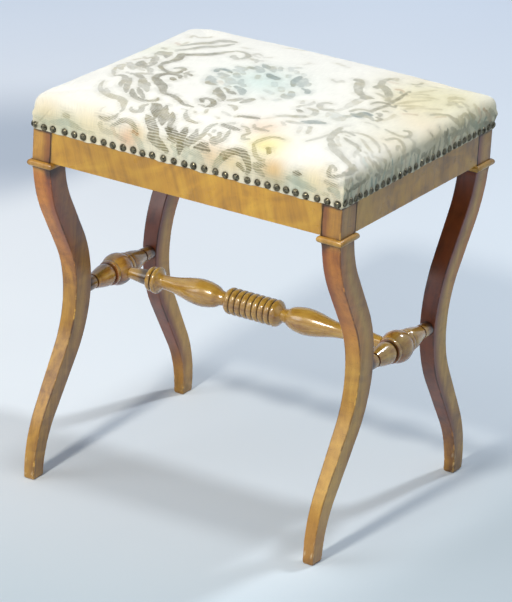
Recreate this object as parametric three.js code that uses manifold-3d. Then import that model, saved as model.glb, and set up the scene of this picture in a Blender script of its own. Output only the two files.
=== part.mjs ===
// Rectangular upholstered stool on two pairs of curved legs, each pair bent like a pair of
// back-to-back brackets and tied at its waist by a turned stretcher with a ball in the middle.
// A long turned stretcher joins the two balls. Millimetres, +Z up, X along the seat's long side,
// the front is -Y, and the origin is on the floor below the middle of the seat.
import * as THREE from "three";
import { mergeVertices } from "three/addons/utils/BufferGeometryUtils.js";
import Module from "manifold-3d";

const wasm = await Module();
wasm.setup();

// Seat frame, measured over the outer faces of the rails
const seatLength = 440;
const seatDepth = 371;
const railHeight = 55.5; // 40 of it shows below the cover
const railThickness = 20;
const veneerThickness = 1.2;
const showWoodHeight = 39.8; // from the rail's lower edge up to the cover's hem
const tenonThickness = 8;
const tenonHeight = 36;
const longTenonLength = 12; // on the front and back rails
const endTenonLength = 15; // on the side rails
const cornerBlockArm = 34; // how far a corner block runs along each rail
const cornerBlockInset = 7; // below the rail's upper edge and above its lower edge

// Legs: a square block at the rails, then a sawn curve of three arcs and two straight runs
const legBlockWidth = 26.4; // along X
const legBlockDepth = 34.5; // along Y
const legSetback = 0.4; // of the curve's centre line inside the block's centre line
const legThickness = 33.3; // across the curve, down to the waist
const footThickness = 22.5;
const footWidth = 14.7; // along X, where the leg meets the floor
const outerTaper = 7.3; // how far the leg's outer side face leans in, down to the floor
const upperBendRadius = 147;
const waistBendRadius = 145.7;
const footBendRadius = 145.3;
const upperStraight = 60.8;
const lowerStraight = 80;
const footStraight = 8.3;
const leaveAngle = 2.5; // degrees from upright where the curve leaves the block
const upperSweep = 31.6; // degrees from upright on the upper straight
const lowerSweep = 31.3; // degrees from upright on the lower straight
const arcSteps = 7;

// Collar: mitred half-round bead strips on the four faces of each leg block, under the rails
const collarHeight = 8.6;
const collarProjection = 4.4;
const collarSteps = 6;

// Cross stretcher, from the middle of its ball outwards
const ballRadius = 20.5;
const ballRingOffset = 17.5; // middle of the ring beside the ball
const ballRingWidth = 6.4;
const ballRingRadius = 17;
const quirkRadius = 11.5; // groove between the ring and the cup
const quirkWidth = 3.2;
const cupBellyRadius = 15.6;
const cupEndRadius = 9.6;
const cupLength = 32;
const endQuirkRadius = 7.4;
const endQuirkWidth = 2.6;
const collarDiscRadius = 9.5; // plain end that butts against the leg
const crossTenonRadius = 6.7;
const crossTenonLength = 17;

// Long stretcher, from its middle outwards
const reedCount = 7;
const reedPitch = 8.45;
const reedRadius = 17.4;
const reedDepth = 2.1;
const capLength = 13.4; // rounded end of the reeded barrel
const barrelNeckRadius = 8.7;
const barrelNeckLength = 6.5;
const vaseRadius = 17.4;
const vaseEndRadius = 9;
const vaseLength = 84;
const flareLength = 7.5;
const flareRadius = 14.4;
const outerRingWidth = 6.2;
const outerRingRadius = 17.4;
const innerRingWidth = 7;
const innerRingRadius = 16;
const ringQuirkDepth = 2.6;
const ringQuirkWidth = 1.4;
const coneStartRadius = 11;
const coneEndRadius = 7.2;
const longTenonRadius = 5.4;
const ballMortiseDepth = 10; // below the ball's crest

// Webbing, hessian and padding on the frame
const strapWidth = 50;
const strapThickness = 1.6;
const longStrapCount = 4;
const crossStrapCount = 5;
const strapEndInset = 7; // from the rail's outer face to the strap's end
const hessianThickness = 1;
const hessianInset = 5;
const calicoThickness = 0.8;
const coverThickness = 1.5;
const coverBulge = 1.6; // how far the padded side swells beyond the cover on the rail
const bellyHeight = 10; // of the widest line above the rails
const shoulderHeight = 29.5; // top of the rounded edge above the rails
const shoulderReach = 18.5; // how far in from the widest line the edge has rounded over
const shoulderSteps = 5;
const crownRise = 7.5; // from the top of the rounded edge up to the middle of the seat
const hemCornerRadius = 2.5; // over the sharp corners of the frame
const bellyCornerRadius = 8;
const shoulderCornerRadius = 24;
const drawIn = 3; // how far the sides pull in half way between the corners

// Fits
const jointGap = 0.3; // between pieces that are glued, nailed or lie on each other
const cutOverrun = 5; // past the face that a cut opens through
const turningSides = 20;

const unitShare = 1;
const degree = Math.PI / 180;

// Materials
const showWood = new THREE.MeshStandardMaterial({ color: 0xa8763a, roughness: 0.38, metalness: 0 });
const veneerWood = new THREE.MeshStandardMaterial({ color: 0xb8873b, roughness: 0.35, metalness: 0 });
const turnedWood = new THREE.MeshStandardMaterial({ color: 0x9c6428, roughness: 0.25, metalness: 0 });
const frameWood = new THREE.MeshStandardMaterial({ color: 0xc2a071, roughness: 0.75, metalness: 0 });
const damask = new THREE.MeshStandardMaterial({ color: 0xefe9d2, roughness: 0.85, metalness: 0 });
const calicoCloth = new THREE.MeshStandardMaterial({ color: 0xe4dcc6, roughness: 0.9, metalness: 0 });
const hessianCloth = new THREE.MeshStandardMaterial({ color: 0xb09468, roughness: 0.95, metalness: 0 });
const webbingCloth = new THREE.MeshStandardMaterial({ color: 0x9d8256, roughness: 0.95, metalness: 0 });
const horsehair = new THREE.MeshStandardMaterial({ color: 0x6b5745, roughness: 0.95, metalness: 0 });

const stool = new THREE.Group();

function addPiece(name, geometry, material) {
  const mesh = new THREE.Mesh(geometry, material);
  mesh.name = name;
  stool.add(mesh);
  return mesh;
}

// Solid modelling: closed meshes go in and out of the boolean library as bare positions
function toSolid(geometry) {
  const bare = geometry.index ? geometry.toNonIndexed() : geometry.clone();
  bare.deleteAttribute("normal");
  bare.deleteAttribute("uv");
  const merged = mergeVertices(bare, 1e-4);
  return new wasm.Manifold(
    new wasm.Mesh({
      numProp: 3,
      vertProperties: merged.attributes.position.array,
      triVerts: new Uint32Array(merged.index.array),
    }),
  );
}

function toGeometry(solid) {
  const mesh = solid.getMesh();
  const geometry = new THREE.BufferGeometry();
  geometry.setAttribute("position", new THREE.BufferAttribute(mesh.vertProperties, mesh.numProp));
  geometry.setIndex(new THREE.BufferAttribute(mesh.triVerts, 1));
  geometry.computeVertexNormals();
  return geometry;
}

function boxBetween(low, high) {
  const size = high.clone().sub(low);
  const middle = low.clone().add(high).multiplyScalar(0.5);
  return new THREE.BoxGeometry(size.x, size.y, size.z).translate(middle.x, middle.y, middle.z);
}

// A solid turned about X or Y from a profile of [distance along the axis, radius] pairs
function turned(profile, axis) {
  const points = profile.map(([along, radius]) => new THREE.Vector2(radius, along));
  const geometry = new THREE.LatheGeometry(points, turningSides);
  return axis === "x" ? geometry.rotateZ(-Math.PI / 2) : geometry;
}

// Curve of one leg: stations down the centre line, each with its place in the leg's plane
// (distance from the stool's middle, drop below the rails), its lean and its length so far
function legStations() {
  const stations = [];
  let out = seatDepth / 2 - legBlockDepth / 2 - legSetback;
  let drop = 0;
  let lean = leaveAngle * degree;
  let run = 0;
  const mark = () => stations.push({ out, drop, lean, run });
  const bend = (radius, turn) => {
    for (let step = 0; step < arcSteps; step++) {
      const chord = radius * 2 * Math.sin(Math.abs(turn) / arcSteps / 2);
      const middleLean = lean + turn / arcSteps / 2;
      out -= chord * Math.sin(middleLean);
      drop += chord * Math.cos(middleLean);
      run += chord;
      lean += turn / arcSteps;
      mark();
    }
  };
  const straight = (length) => {
    out -= length * Math.sin(lean);
    drop += length * Math.cos(lean);
    run += length;
    mark();
  };
  mark();
  bend(upperBendRadius, (upperSweep - leaveAngle) * degree);
  straight(upperStraight);
  bend(waistBendRadius, -upperSweep * degree);
  const waist = stations.length - 1;
  bend(waistBendRadius, -lowerSweep * degree);
  straight(lowerStraight);
  bend(footBendRadius, lowerSweep * degree);
  straight(footStraight);
  return { stations, waist };
}

const { stations, waist } = legStations();
const railBottom = stations[stations.length - 1].drop;
const railTop = railBottom + railHeight;
const waistHeight = railBottom - stations[waist].drop;
const waistInner = stations[waist].out - legThickness / 2;
const hemHeight = railBottom + showWoodHeight;
const collarBottom = railBottom - jointGap - collarHeight;
const blockBottom = collarBottom - jointGap;

// Half the sizes over the rails, and where the leg block's inner faces lie
const halfLength = seatLength / 2;
const halfDepth = seatDepth / 2;
const blockInnerX = halfLength - legBlockWidth;
const blockInnerY = halfDepth - legBlockDepth;

function thicknessAt(run) {
  const below = Math.max(0, run - stations[waist].run);
  const whole = stations[stations.length - 1].run - stations[waist].run;
  return legThickness + ((footThickness - legThickness) * below) / whole;
}

// The leg's side faces lean in from the collar to the floor
function legSides(height) {
  const share = Math.max(0, (blockBottom - height) / blockBottom);
  const outer = halfLength - outerTaper * share;
  return { outer, inner: outer - (legBlockWidth + (footWidth - legBlockWidth) * share) };
}

function edgeOfLeg(side) {
  const edge = stations.map(({ out, drop, lean, run }) => {
    const half = (thicknessAt(run) / 2) * side;
    return new THREE.Vector2(out + half * Math.cos(lean), railBottom - drop - half * Math.sin(lean));
  });
  const above = edge.filter((point) => point.y >= blockBottom).pop();
  const below = edge.filter((point) => point.y < blockBottom);
  const share = (above.y - blockBottom) / (above.y - below[0].y);
  const start = new THREE.Vector2().lerpVectors(above, below[0], share);
  start.y = blockBottom;
  below[below.length - 1].y = 0;
  return [start, ...below];
}

function legGeometry() {
  const outline = [
    new THREE.Vector2(blockInnerY, railTop),
    new THREE.Vector2(blockInnerY, blockBottom),
    ...edgeOfLeg(-unitShare),
    ...edgeOfLeg(unitShare).reverse(),
    new THREE.Vector2(halfDepth, blockBottom),
    new THREE.Vector2(halfDepth, railTop),
  ];
  const slab = new THREE.ExtrudeGeometry(new THREE.Shape(outline), { depth: unitShare, bevelEnabled: false });
  const place = slab.getAttribute("position");
  for (let i = 0; i < place.count; i++) {
    const sides = legSides(place.getY(i));
    const across = sides.inner + (sides.outer - sides.inner) * place.getZ(i);
    place.setXYZ(i, across, place.getX(i), place.getY(i));
  }
  const leg = toSolid(slab);
  const mortiseLow = railBottom + (railHeight - tenonHeight) / 2 - jointGap;
  const mortiseHigh = railBottom + (railHeight + tenonHeight) / 2 + jointGap;
  const longRailMiddle = halfDepth - veneerThickness - jointGap - railThickness / 2;
  const sideRailMiddle = halfLength - veneerThickness - jointGap - railThickness / 2;
  const mortiseHalf = tenonThickness / 2 + jointGap;
  const longMortise = boxBetween(
    new THREE.Vector3(blockInnerX - cutOverrun, longRailMiddle - mortiseHalf, mortiseLow),
    new THREE.Vector3(blockInnerX + longTenonLength + jointGap, longRailMiddle + mortiseHalf, mortiseHigh),
  );
  const sideMortise = boxBetween(
    new THREE.Vector3(sideRailMiddle - mortiseHalf, blockInnerY - cutOverrun, mortiseLow),
    new THREE.Vector3(sideRailMiddle + mortiseHalf, blockInnerY + endTenonLength + jointGap, mortiseHigh),
  );
  const boreDepth = crossTenonLength + jointGap;
  const bore = new THREE.CylinderGeometry(
    crossTenonRadius + jointGap,
    crossTenonRadius + jointGap,
    boreDepth + cutOverrun,
    turningSides,
  );
  bore.translate(stretcherX, waistInner + (boreDepth - cutOverrun) / 2, waistHeight);
  return toGeometry(leg.subtract(toSolid(longMortise)).subtract(toSolid(sideMortise)).subtract(toSolid(bore)));
}

// The stretchers run at the height of the waist, in the middle of the legs' width there
const waistSides = legSides(waistHeight);
const stretcherX = (waistSides.outer + waistSides.inner) / 2;

// A rail between two leg blocks, with a tenon at each end, lying along X about the origin
function railGeometry(clearLength, tenonLength) {
  const length = clearLength - 2 * jointGap;
  const body = new THREE.BoxGeometry(length, railThickness, railHeight);
  const tenon = new THREE.BoxGeometry(length + 2 * tenonLength, tenonThickness, tenonHeight);
  return toGeometry(toSolid(body).add(toSolid(tenon)));
}

// A triangular glue block in the frame's inner corner, notched round the leg block
function cornerBlockGeometry() {
  const railInnerX = halfLength - veneerThickness - 2 * jointGap - railThickness;
  const railInnerY = halfDepth - veneerThickness - 2 * jointGap - railThickness;
  const notchX = blockInnerX - jointGap;
  const notchY = blockInnerY - jointGap;
  const outline = new THREE.Shape([
    new THREE.Vector2(notchX, railInnerY),
    new THREE.Vector2(notchX - cornerBlockArm, railInnerY),
    new THREE.Vector2(railInnerX, notchY - cornerBlockArm),
    new THREE.Vector2(railInnerX, notchY),
    new THREE.Vector2(notchX, notchY),
  ]);
  const depth = railHeight - 2 * cornerBlockInset;
  const block = new THREE.ExtrudeGeometry(outline, { depth, bevelEnabled: false });
  return block.translate(0, 0, railBottom + cornerBlockInset);
}

// One collar strip along X: its flat back lies on y = 0 and its mitres open outwards
function collarStripGeometry(backLength) {
  const bead = new THREE.Shape();
  bead.moveTo(0, 0);
  for (let step = 0; step <= collarSteps; step++) {
    const turn = (Math.PI * step) / collarSteps;
    bead.lineTo(collarProjection * Math.sin(turn), (collarHeight / 2) * (unitShare - Math.cos(turn)));
  }
  const strip = new THREE.ExtrudeGeometry(bead, { depth: unitShare, bevelEnabled: false });
  const place = strip.getAttribute("position");
  for (let i = 0; i < place.count; i++) {
    const out = place.getX(i);
    const half = backLength / 2 + out - jointGap / 2;
    place.setXYZ(i, half * (2 * place.getZ(i) - unitShare), out, place.getY(i));
  }
  return strip;
}

// Rounded bump of a turning, from one groove to the next
const beadSteps = 4;

function beadPoints(start, width, baseRadius, crestRadius) {
  const points = [];
  for (let step = 0; step <= beadSteps; step++) {
    const turn = (Math.PI * step) / beadSteps;
    const along = start + (width / 2) * (unitShare - Math.cos(turn));
    points.push([along, baseRadius + (crestRadius - baseRadius) * Math.sin(turn)]);
  }
  return points;
}

// Smooth stretch of a turning through shares of its length and of its swell
function swellPoints(start, length, lowRadius, highRadius, shares, steps) {
  const knots = shares.map(([along, swell]) => new THREE.Vector2(along, swell));
  return new THREE.SplineCurve(knots)
    .getPoints(steps)
    .map((knot) => [start + length * knot.x, lowRadius + (highRadius - lowRadius) * knot.y]);
}

function mirrored(halfProfile) {
  const other = halfProfile.map(([along, radius]) => [-along, radius]).reverse();
  return [...other, ...halfProfile];
}

const cupShares = [[0, 0.84], [0.18, 1], [0.5, 0.7], [0.85, 0.2], [1, 0]];

function crossStretcherProfile() {
  const ringStart = ballRingOffset - ballRingWidth / 2;
  const ringBase = Math.sqrt(ballRadius ** 2 - ringStart ** 2);
  const ballTurn = Math.asin(ringStart / ballRadius);
  const ballSteps = 5;
  const half = [];
  for (let step = 1; step <= ballSteps; step++) {
    const turn = (ballTurn * step) / ballSteps;
    half.push([ballRadius * Math.sin(turn), ballRadius * Math.cos(turn)]);
  }
  half.push(...beadPoints(ringStart, ballRingWidth, ringBase, ballRingRadius).slice(1));
  const quirkStart = ballRingOffset + ballRingWidth / 2;
  const cupStart = quirkStart + quirkWidth;
  half.push([quirkStart, quirkRadius], [cupStart, quirkRadius]);
  half.push(...swellPoints(cupStart, cupLength, cupEndRadius, cupBellyRadius, cupShares, 7));
  const discStart = cupStart + cupLength + endQuirkWidth;
  const discEnd = waistInner - jointGap;
  half.push([cupStart + cupLength, endQuirkRadius], [discStart, endQuirkRadius]);
  half.push([discStart, collarDiscRadius], [discEnd, collarDiscRadius]);
  half.push([discEnd, crossTenonRadius], [discEnd + crossTenonLength, crossTenonRadius]);
  half.push([discEnd + crossTenonLength, 0]);
  return mirrored(half);
}

function crossStretcherGeometry() {
  const body = toSolid(turned(crossStretcherProfile(), "y"));
  const boreRadius = longTenonRadius + jointGap;
  const bore = new THREE.CylinderGeometry(boreRadius, boreRadius, ballRadius, turningSides);
  bore.rotateZ(Math.PI / 2).translate(ballMortiseDepth - ballRadius - ballRadius / 2, 0, 0);
  return toGeometry(body.subtract(toSolid(bore)));
}

const vaseShares = [[0, 0.1], [0.1, 0.66], [0.3, 1], [0.5, 0.83], [0.7, 0.4], [0.86, 0.1], [1, 0]];
const capShares = [[0, 0.76], [0.2, 1], [0.5, 0.86], [0.8, 0.4], [1, 0]];
const flareShares = [[0, 0], [0.5, 0.22], [1, 1]];

function longStretcherProfile() {
  const half = [];
  const grooveRadius = reedRadius - reedDepth;
  const barrelHalf = (reedCount * reedPitch) / 2;
  for (let reed = 0; reed < reedCount; reed++) {
    const start = -barrelHalf + reed * reedPitch;
    const reedPoints = beadPoints(start, reedPitch, grooveRadius, reedRadius);
    half.push(...reedPoints.slice(reed === 0 ? 0 : 1).filter(([along]) => along > 0));
  }
  let at = barrelHalf;
  half.push(...swellPoints(at, capLength, barrelNeckRadius, reedRadius, capShares, 6).slice(1));
  at += capLength + barrelNeckLength;
  half.push(...swellPoints(at, vaseLength, vaseEndRadius, vaseRadius, vaseShares, 13));
  at += vaseLength;
  half.push(...swellPoints(at, flareLength, vaseEndRadius, flareRadius, flareShares, 3).slice(1));
  at += flareLength;
  const outerBase = outerRingRadius - ringQuirkDepth;
  half.push(...beadPoints(at, outerRingWidth, outerBase, outerRingRadius));
  at += outerRingWidth + ringQuirkWidth;
  const innerBase = innerRingRadius - ringQuirkDepth;
  half.push(...beadPoints(at, innerRingWidth, innerBase, innerRingRadius));
  at += innerRingWidth;
  const coneEnd = stretcherX - Math.sqrt(ballRadius ** 2 - longTenonRadius ** 2) - jointGap;
  const tenonEnd = stretcherX - ballRadius + ballMortiseDepth - jointGap;
  half.push([at, coneStartRadius], [coneEnd, coneEndRadius]);
  half.push([coneEnd, longTenonRadius], [tenonEnd, longTenonRadius], [tenonEnd, 0]);
  return mirrored(half);
}

// One ring of the padding round a rectangle with rounded corners, pulled in between them. The
// sides come in turn from +X round by +Y, each walked from one corner arc to the next.
const sideWalkShares = [-1, -0.8, -0.4, 0, 0.4, 0.8, 1];
const cornerArcSteps = 4;

function padRing({ out, height, round, pull, share }) {
  const halfX = (halfLength + out) * share;
  const halfY = (halfDepth + out) * share;
  const ring = [];
  for (let side = 0; side < 4; side++) {
    const reach = side % 2 === 0 ? halfX : halfY;
    const along = side % 2 === 0 ? halfY : halfX;
    const local = sideWalkShares.map((walk) => [
      reach - pull * (unitShare - walk ** 2),
      (along - round) * walk,
    ]);
    for (let step = 1; step < cornerArcSteps; step++) {
      const turn = (Math.PI / 2) * (step / cornerArcSteps);
      local.push([reach - round + round * Math.cos(turn), along - round + round * Math.sin(turn)]);
    }
    const facing = (side * Math.PI) / 2;
    for (const [away, walk] of local) {
      const x = away * Math.cos(facing) - walk * Math.sin(facing);
      const y = away * Math.sin(facing) + walk * Math.cos(facing);
      ring.push(new THREE.Vector3(x, y, railTop + height));
    }
  }
  return ring;
}

// Rings of one layer of the seat, "inside" millimetres below the cover's outer surface. It
// rises from its lower edge over the belly of the side, round the shoulder and up the crown.
const coverOut = jointGap + coverThickness;
const crownShares = [0.78, 0.52, 0.26];

function seatRings(inside, bottom) {
  const reach = shoulderReach - inside;
  const rise = shoulderHeight - bellyHeight - inside;
  const shoulderOut = coverOut + coverBulge - shoulderReach;
  const rounded = (radius) => Math.max(radius - inside, jointGap);
  const rings = [];
  const levels = [bottom, 0, padBottom].filter((height, i) => i === 0 || height > bottom);
  for (const height of levels) {
    const climb = Math.max(height, 0) / bellyHeight;
    rings.push({
      out: coverOut - inside + coverBulge * climb,
      height,
      round: rounded(hemCornerRadius + (bellyCornerRadius - hemCornerRadius) * climb),
      pull: drawIn * climb,
    });
  }
  for (let step = 0; step <= shoulderSteps; step++) {
    const turn = (Math.PI / 2) * (step / shoulderSteps);
    const over = unitShare - Math.cos(turn);
    rings.push({
      out: shoulderOut + reach * Math.cos(turn),
      height: bellyHeight + rise * Math.sin(turn),
      round: rounded(bellyCornerRadius + (shoulderCornerRadius - bellyCornerRadius) * over),
      pull: drawIn,
    });
  }
  const edge = rings[rings.length - 1];
  for (const share of crownShares) {
    const height = edge.height + crownRise * (unitShare - share ** 2);
    rings.push({ ...edge, height, round: edge.round * share, pull: edge.pull * share, share });
  }
  const top = new THREE.Vector3(0, 0, railTop + edge.height + crownRise);
  return { rings: rings.map((ring) => padRing({ share: unitShare, ...ring })), top };
}

// A closed solid between an outer layer and an inner one, or down to a flat underside
function layerGeometry(outer, inner) {
  const points = [];
  const faces = [];
  const place = (ring) => points.push(...ring) - ring.length;
  const count = outer.rings[0].length;
  const skin = (layer, facesOut) => {
    const starts = layer.rings.map(place);
    const top = points.push(layer.top) - 1;
    for (let i = 0; i < count; i++) {
      const next = (i + 1) % count;
      for (let band = 1; band < starts.length; band++) {
        const [low, high] = [starts[band - 1], starts[band]];
        const quad = [[low + i, low + next, high + next], [low + i, high + next, high + i]];
        faces.push(...quad.map((face) => (facesOut ? face : face.reverse())));
      }
      const last = starts[starts.length - 1];
      faces.push(facesOut ? [last + i, last + next, top] : [last + next, last + i, top]);
    }
    return starts[0];
  };
  const outerFoot = skin(outer, true);
  const innerFoot = inner ? skin(inner, false) : 0;
  const middle = inner ? 0 : points.push(new THREE.Vector3(0, 0, outer.rings[0][0].z)) - 1;
  for (let i = 0; i < count; i++) {
    const next = (i + 1) % count;
    if (inner) {
      faces.push([outerFoot + i, innerFoot + i, innerFoot + next]);
      faces.push([outerFoot + i, innerFoot + next, outerFoot + next]);
    } else {
      faces.push([outerFoot + next, outerFoot + i, middle]);
    }
  }
  const geometry = new THREE.BufferGeometry().setFromPoints(points);
  geometry.setIndex(faces.flat());
  geometry.computeVertexNormals();
  return geometry;
}

// Heights over the rails of the interlaced webbing, the hessian on it and the padding's underside
const lowStrap = jointGap + strapThickness / 2;
const highStrap = lowStrap + strapThickness + jointGap;
const hessianBottom = highStrap + strapThickness / 2 + jointGap;
const padBottom = hessianBottom + hessianThickness + jointGap;

// A webbing strap along X that passes over and under the straps it crosses
function strapGeometry(length, crossings, overFirst) {
  const half = length / 2;
  const path = [[-half, lowStrap]];
  crossings.forEach((middle, i) => {
    const level = (i % 2 === 0) === overFirst ? highStrap : lowStrap;
    path.push([middle - strapWidth / 2, level], [middle + strapWidth / 2, level]);
  });
  path.push([half, lowStrap]);
  const upper = path.map(([along, level]) => new THREE.Vector2(along, level + strapThickness / 2));
  const lower = path.map(([along, level]) => new THREE.Vector2(along, level - strapThickness / 2));
  const outline = new THREE.Shape([...lower, ...upper.reverse()]);
  const strap = new THREE.ExtrudeGeometry(outline, { depth: strapWidth, bevelEnabled: false });
  return strap.rotateX(Math.PI / 2).translate(0, strapWidth / 2, railTop);
}

function spread(count, pitch) {
  return Array.from({ length: count }, (_, i) => (i - (count - 1) / 2) * pitch);
}

// Legs and collars, one of each in every corner
const leg = legGeometry();
const cornerBlock = cornerBlockGeometry();
const collarX = collarStripGeometry(legBlockWidth + 2 * jointGap);
const collarY = collarStripGeometry(legBlockDepth + 2 * jointGap);
const blockMiddleX = halfLength - legBlockWidth / 2;
const blockMiddleY = halfDepth - legBlockDepth / 2;
const corners = [
  { name: "front_right", right: 1, back: -1 },
  { name: "front_left", right: -1, back: -1 },
  { name: "back_right", right: 1, back: 1 },
  { name: "back_left", right: -1, back: 1 },
];

for (const { name, right, back } of corners) {
  addPiece(`leg_${name}`, leg, showWood).scale.set(right, back, 1);
  addPiece(`corner_block_${name}`, cornerBlock, frameWood).scale.set(right, back, 1);
  const collar = [
    { side: "outer_face", strip: collarX, facing: 0, x: 0, y: legBlockDepth / 2 + jointGap },
    { side: "inner_face", strip: collarX, facing: Math.PI, x: 0, y: -legBlockDepth / 2 - jointGap },
    { side: "outer_side", strip: collarY, facing: -Math.PI / 2, x: legBlockWidth / 2 + jointGap, y: 0 },
    { side: "inner_side", strip: collarY, facing: Math.PI / 2, x: -legBlockWidth / 2 - jointGap, y: 0 },
  ];
  const corner = new THREE.Group();
  corner.scale.set(right, back, 1);
  stool.add(corner);
  for (const { side, strip, facing, x, y } of collar) {
    const mesh = new THREE.Mesh(strip, showWood);
    mesh.name = `collar_${name}_${side}`;
    mesh.position.set(blockMiddleX + x, blockMiddleY + y, collarBottom);
    mesh.rotation.z = facing;
    corner.add(mesh);
  }
}

// Rails with their veneered faces
const railMiddle = railBottom + railHeight / 2;
const longRail = railGeometry(2 * blockInnerX, longTenonLength);
const endRail = railGeometry(2 * blockInnerY, endTenonLength);
const longVeneer = new THREE.BoxGeometry(2 * (blockInnerX - jointGap), veneerThickness, railHeight);
const endVeneer = new THREE.BoxGeometry(2 * (blockInnerY - jointGap), veneerThickness, railHeight);
const rails = [
  { name: "front", rail: longRail, veneer: longVeneer, facing: 0, face: halfDepth },
  { name: "back", rail: longRail, veneer: longVeneer, facing: Math.PI, face: halfDepth },
  { name: "right", rail: endRail, veneer: endVeneer, facing: Math.PI / 2, face: halfLength },
  { name: "left", rail: endRail, veneer: endVeneer, facing: -Math.PI / 2, face: halfLength },
];

for (const { name, rail, veneer, facing, face } of rails) {
  const side = new THREE.Group();
  side.rotation.z = facing;
  stool.add(side);
  const core = new THREE.Mesh(rail, frameWood);
  core.name = `rail_${name}`;
  core.position.set(0, veneerThickness + jointGap + railThickness / 2 - face, railMiddle);
  const sheet = new THREE.Mesh(veneer, veneerWood);
  sheet.name = `rail_veneer_${name}`;
  sheet.position.set(0, veneerThickness / 2 - face, railMiddle);
  side.add(core, sheet);
}

// Stretchers
const crossStretcher = crossStretcherGeometry();
const rightStretcher = addPiece("cross_stretcher_right", crossStretcher, turnedWood);
rightStretcher.position.set(stretcherX, 0, waistHeight);
const leftStretcher = addPiece("cross_stretcher_left", crossStretcher, turnedWood);
leftStretcher.position.set(-stretcherX, 0, waistHeight);
leftStretcher.rotation.z = Math.PI;
addPiece("long_stretcher", turned(longStretcherProfile(), "x"), turnedWood).position.z = waistHeight;

// Webbing, with as many gaps as straps between the rails
const clearX = 2 * (halfLength - railThickness);
const clearY = 2 * (halfDepth - railThickness);
const crossPlaces = spread(crossStrapCount, clearX / crossStrapCount);
const longPlaces = spread(longStrapCount, clearY / longStrapCount);

longPlaces.forEach((y, i) => {
  const strap = strapGeometry(seatLength - 2 * strapEndInset, crossPlaces, i % 2 === 0);
  addPiece(`webbing_long_${i + 1}`, strap, webbingCloth).position.y = y;
});
crossPlaces.forEach((x, i) => {
  const strap = strapGeometry(seatDepth - 2 * strapEndInset, longPlaces, i % 2 !== 0);
  const mesh = addPiece(`webbing_cross_${i + 1}`, strap, webbingCloth);
  mesh.rotation.z = Math.PI / 2;
  mesh.position.x = x;
});

// Hessian, padding, calico and the cover
const hessianLow = new THREE.Vector3(hessianInset - halfLength, hessianInset - halfDepth, railTop + hessianBottom);
const hessianHigh = new THREE.Vector3(
  halfLength - hessianInset,
  halfDepth - hessianInset,
  railTop + hessianBottom + hessianThickness,
);
const calicoInside = coverThickness + jointGap;
const padInside = calicoInside + calicoThickness + jointGap;
const coverSkin = layerGeometry(
  seatRings(0, hemHeight - railTop),
  seatRings(coverThickness, hemHeight - railTop),
);
const calicoSkin = layerGeometry(
  seatRings(calicoInside, jointGap),
  seatRings(calicoInside + calicoThickness, jointGap),
);
addPiece("hessian", boxBetween(hessianLow, hessianHigh), hessianCloth);
addPiece("seat_padding", layerGeometry(seatRings(padInside, padBottom)), horsehair);
addPiece("calico_undercover", calicoSkin, calicoCloth);
addPiece("seat_cover", coverSkin, damask);

export default stool;
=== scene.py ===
import math

import bmesh
import bpy
import numpy as np
from mathutils import Matrix, Vector
from mathutils.bvhtree import BVHTree


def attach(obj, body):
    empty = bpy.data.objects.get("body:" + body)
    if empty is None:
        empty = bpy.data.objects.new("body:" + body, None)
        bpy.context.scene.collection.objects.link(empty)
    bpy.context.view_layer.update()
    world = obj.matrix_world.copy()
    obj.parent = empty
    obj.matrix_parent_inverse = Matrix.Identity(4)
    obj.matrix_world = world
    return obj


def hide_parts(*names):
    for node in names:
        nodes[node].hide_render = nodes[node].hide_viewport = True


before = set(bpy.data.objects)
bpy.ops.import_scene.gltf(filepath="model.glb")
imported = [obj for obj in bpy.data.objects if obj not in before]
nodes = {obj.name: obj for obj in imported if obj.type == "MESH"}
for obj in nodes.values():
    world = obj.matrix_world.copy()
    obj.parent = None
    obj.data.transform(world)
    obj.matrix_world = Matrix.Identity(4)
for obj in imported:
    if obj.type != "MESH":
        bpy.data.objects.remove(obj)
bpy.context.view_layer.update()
scene = bpy.context.scene
scene.view_settings.view_transform = "Standard"

# camera
cameraSetup = {
    "place": (2.5570, -4.3887, 2.2468),
    "azimuth": 30.209,
    "elevation": 21.596,
    "roll": 3.383,
    "lens": 260.2,
}


def makeCamera():
    azimuth, elevation, roll = (
        math.radians(cameraSetup[key]) for key in ("azimuth", "elevation", "roll")
    )
    back = Vector(
        (
            math.sin(azimuth) * math.cos(elevation),
            -math.cos(azimuth) * math.cos(elevation),
            math.sin(elevation),
        )
    )
    level = Vector((math.cos(azimuth), math.sin(azimuth), 0))
    up = level.cross(-back)
    right = math.cos(roll) * level + math.sin(roll) * up
    up = math.cos(roll) * up - math.sin(roll) * level
    data = bpy.data.cameras.new("camera")
    data.lens = cameraSetup["lens"]
    data.clip_end = 60
    camera = bpy.data.objects.new("camera", data)
    turn = Matrix((right, up, back)).transposed().to_4x4()
    camera.matrix_world = Matrix.Translation(cameraSetup["place"]) @ turn
    scene.collection.objects.link(camera)
    scene.camera = camera


makeCamera()

# sizes from the solids, in metres
stoolSizes = {
    "halfLength": 0.220,
    "halfDepth": 0.1855,
    "railBottom": 0.42658,
    "railTop": 0.48208,
    "hem": 0.46638,
    "blockBottom": 0.41738,
    "blockWidth": 0.0264,
    "blockDepth": 0.0345,
    "veneer": 0.0012,
    "railThickness": 0.020,
    "gap": 0.0003,
}
halfLength = stoolSizes["halfLength"]
halfDepth = stoolSizes["halfDepth"]
railBottom = stoolSizes["railBottom"]
railTop = stoolSizes["railTop"]
hemHeight = stoolSizes["hem"]
gap = stoolSizes["gap"]
blockInnerX = halfLength - stoolSizes["blockWidth"]
blockInnerY = halfDepth - stoolSizes["blockDepth"]


# small tools for nodes
def linearColour(red, green, blue):
    shades = [channel / 255 for channel in (red, green, blue)]
    return tuple(
        s / 12.92 if s <= 0.04045 else ((s + 0.055) / 1.055) ** 2.4 for s in shades
    ) + (1.0,)


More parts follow.
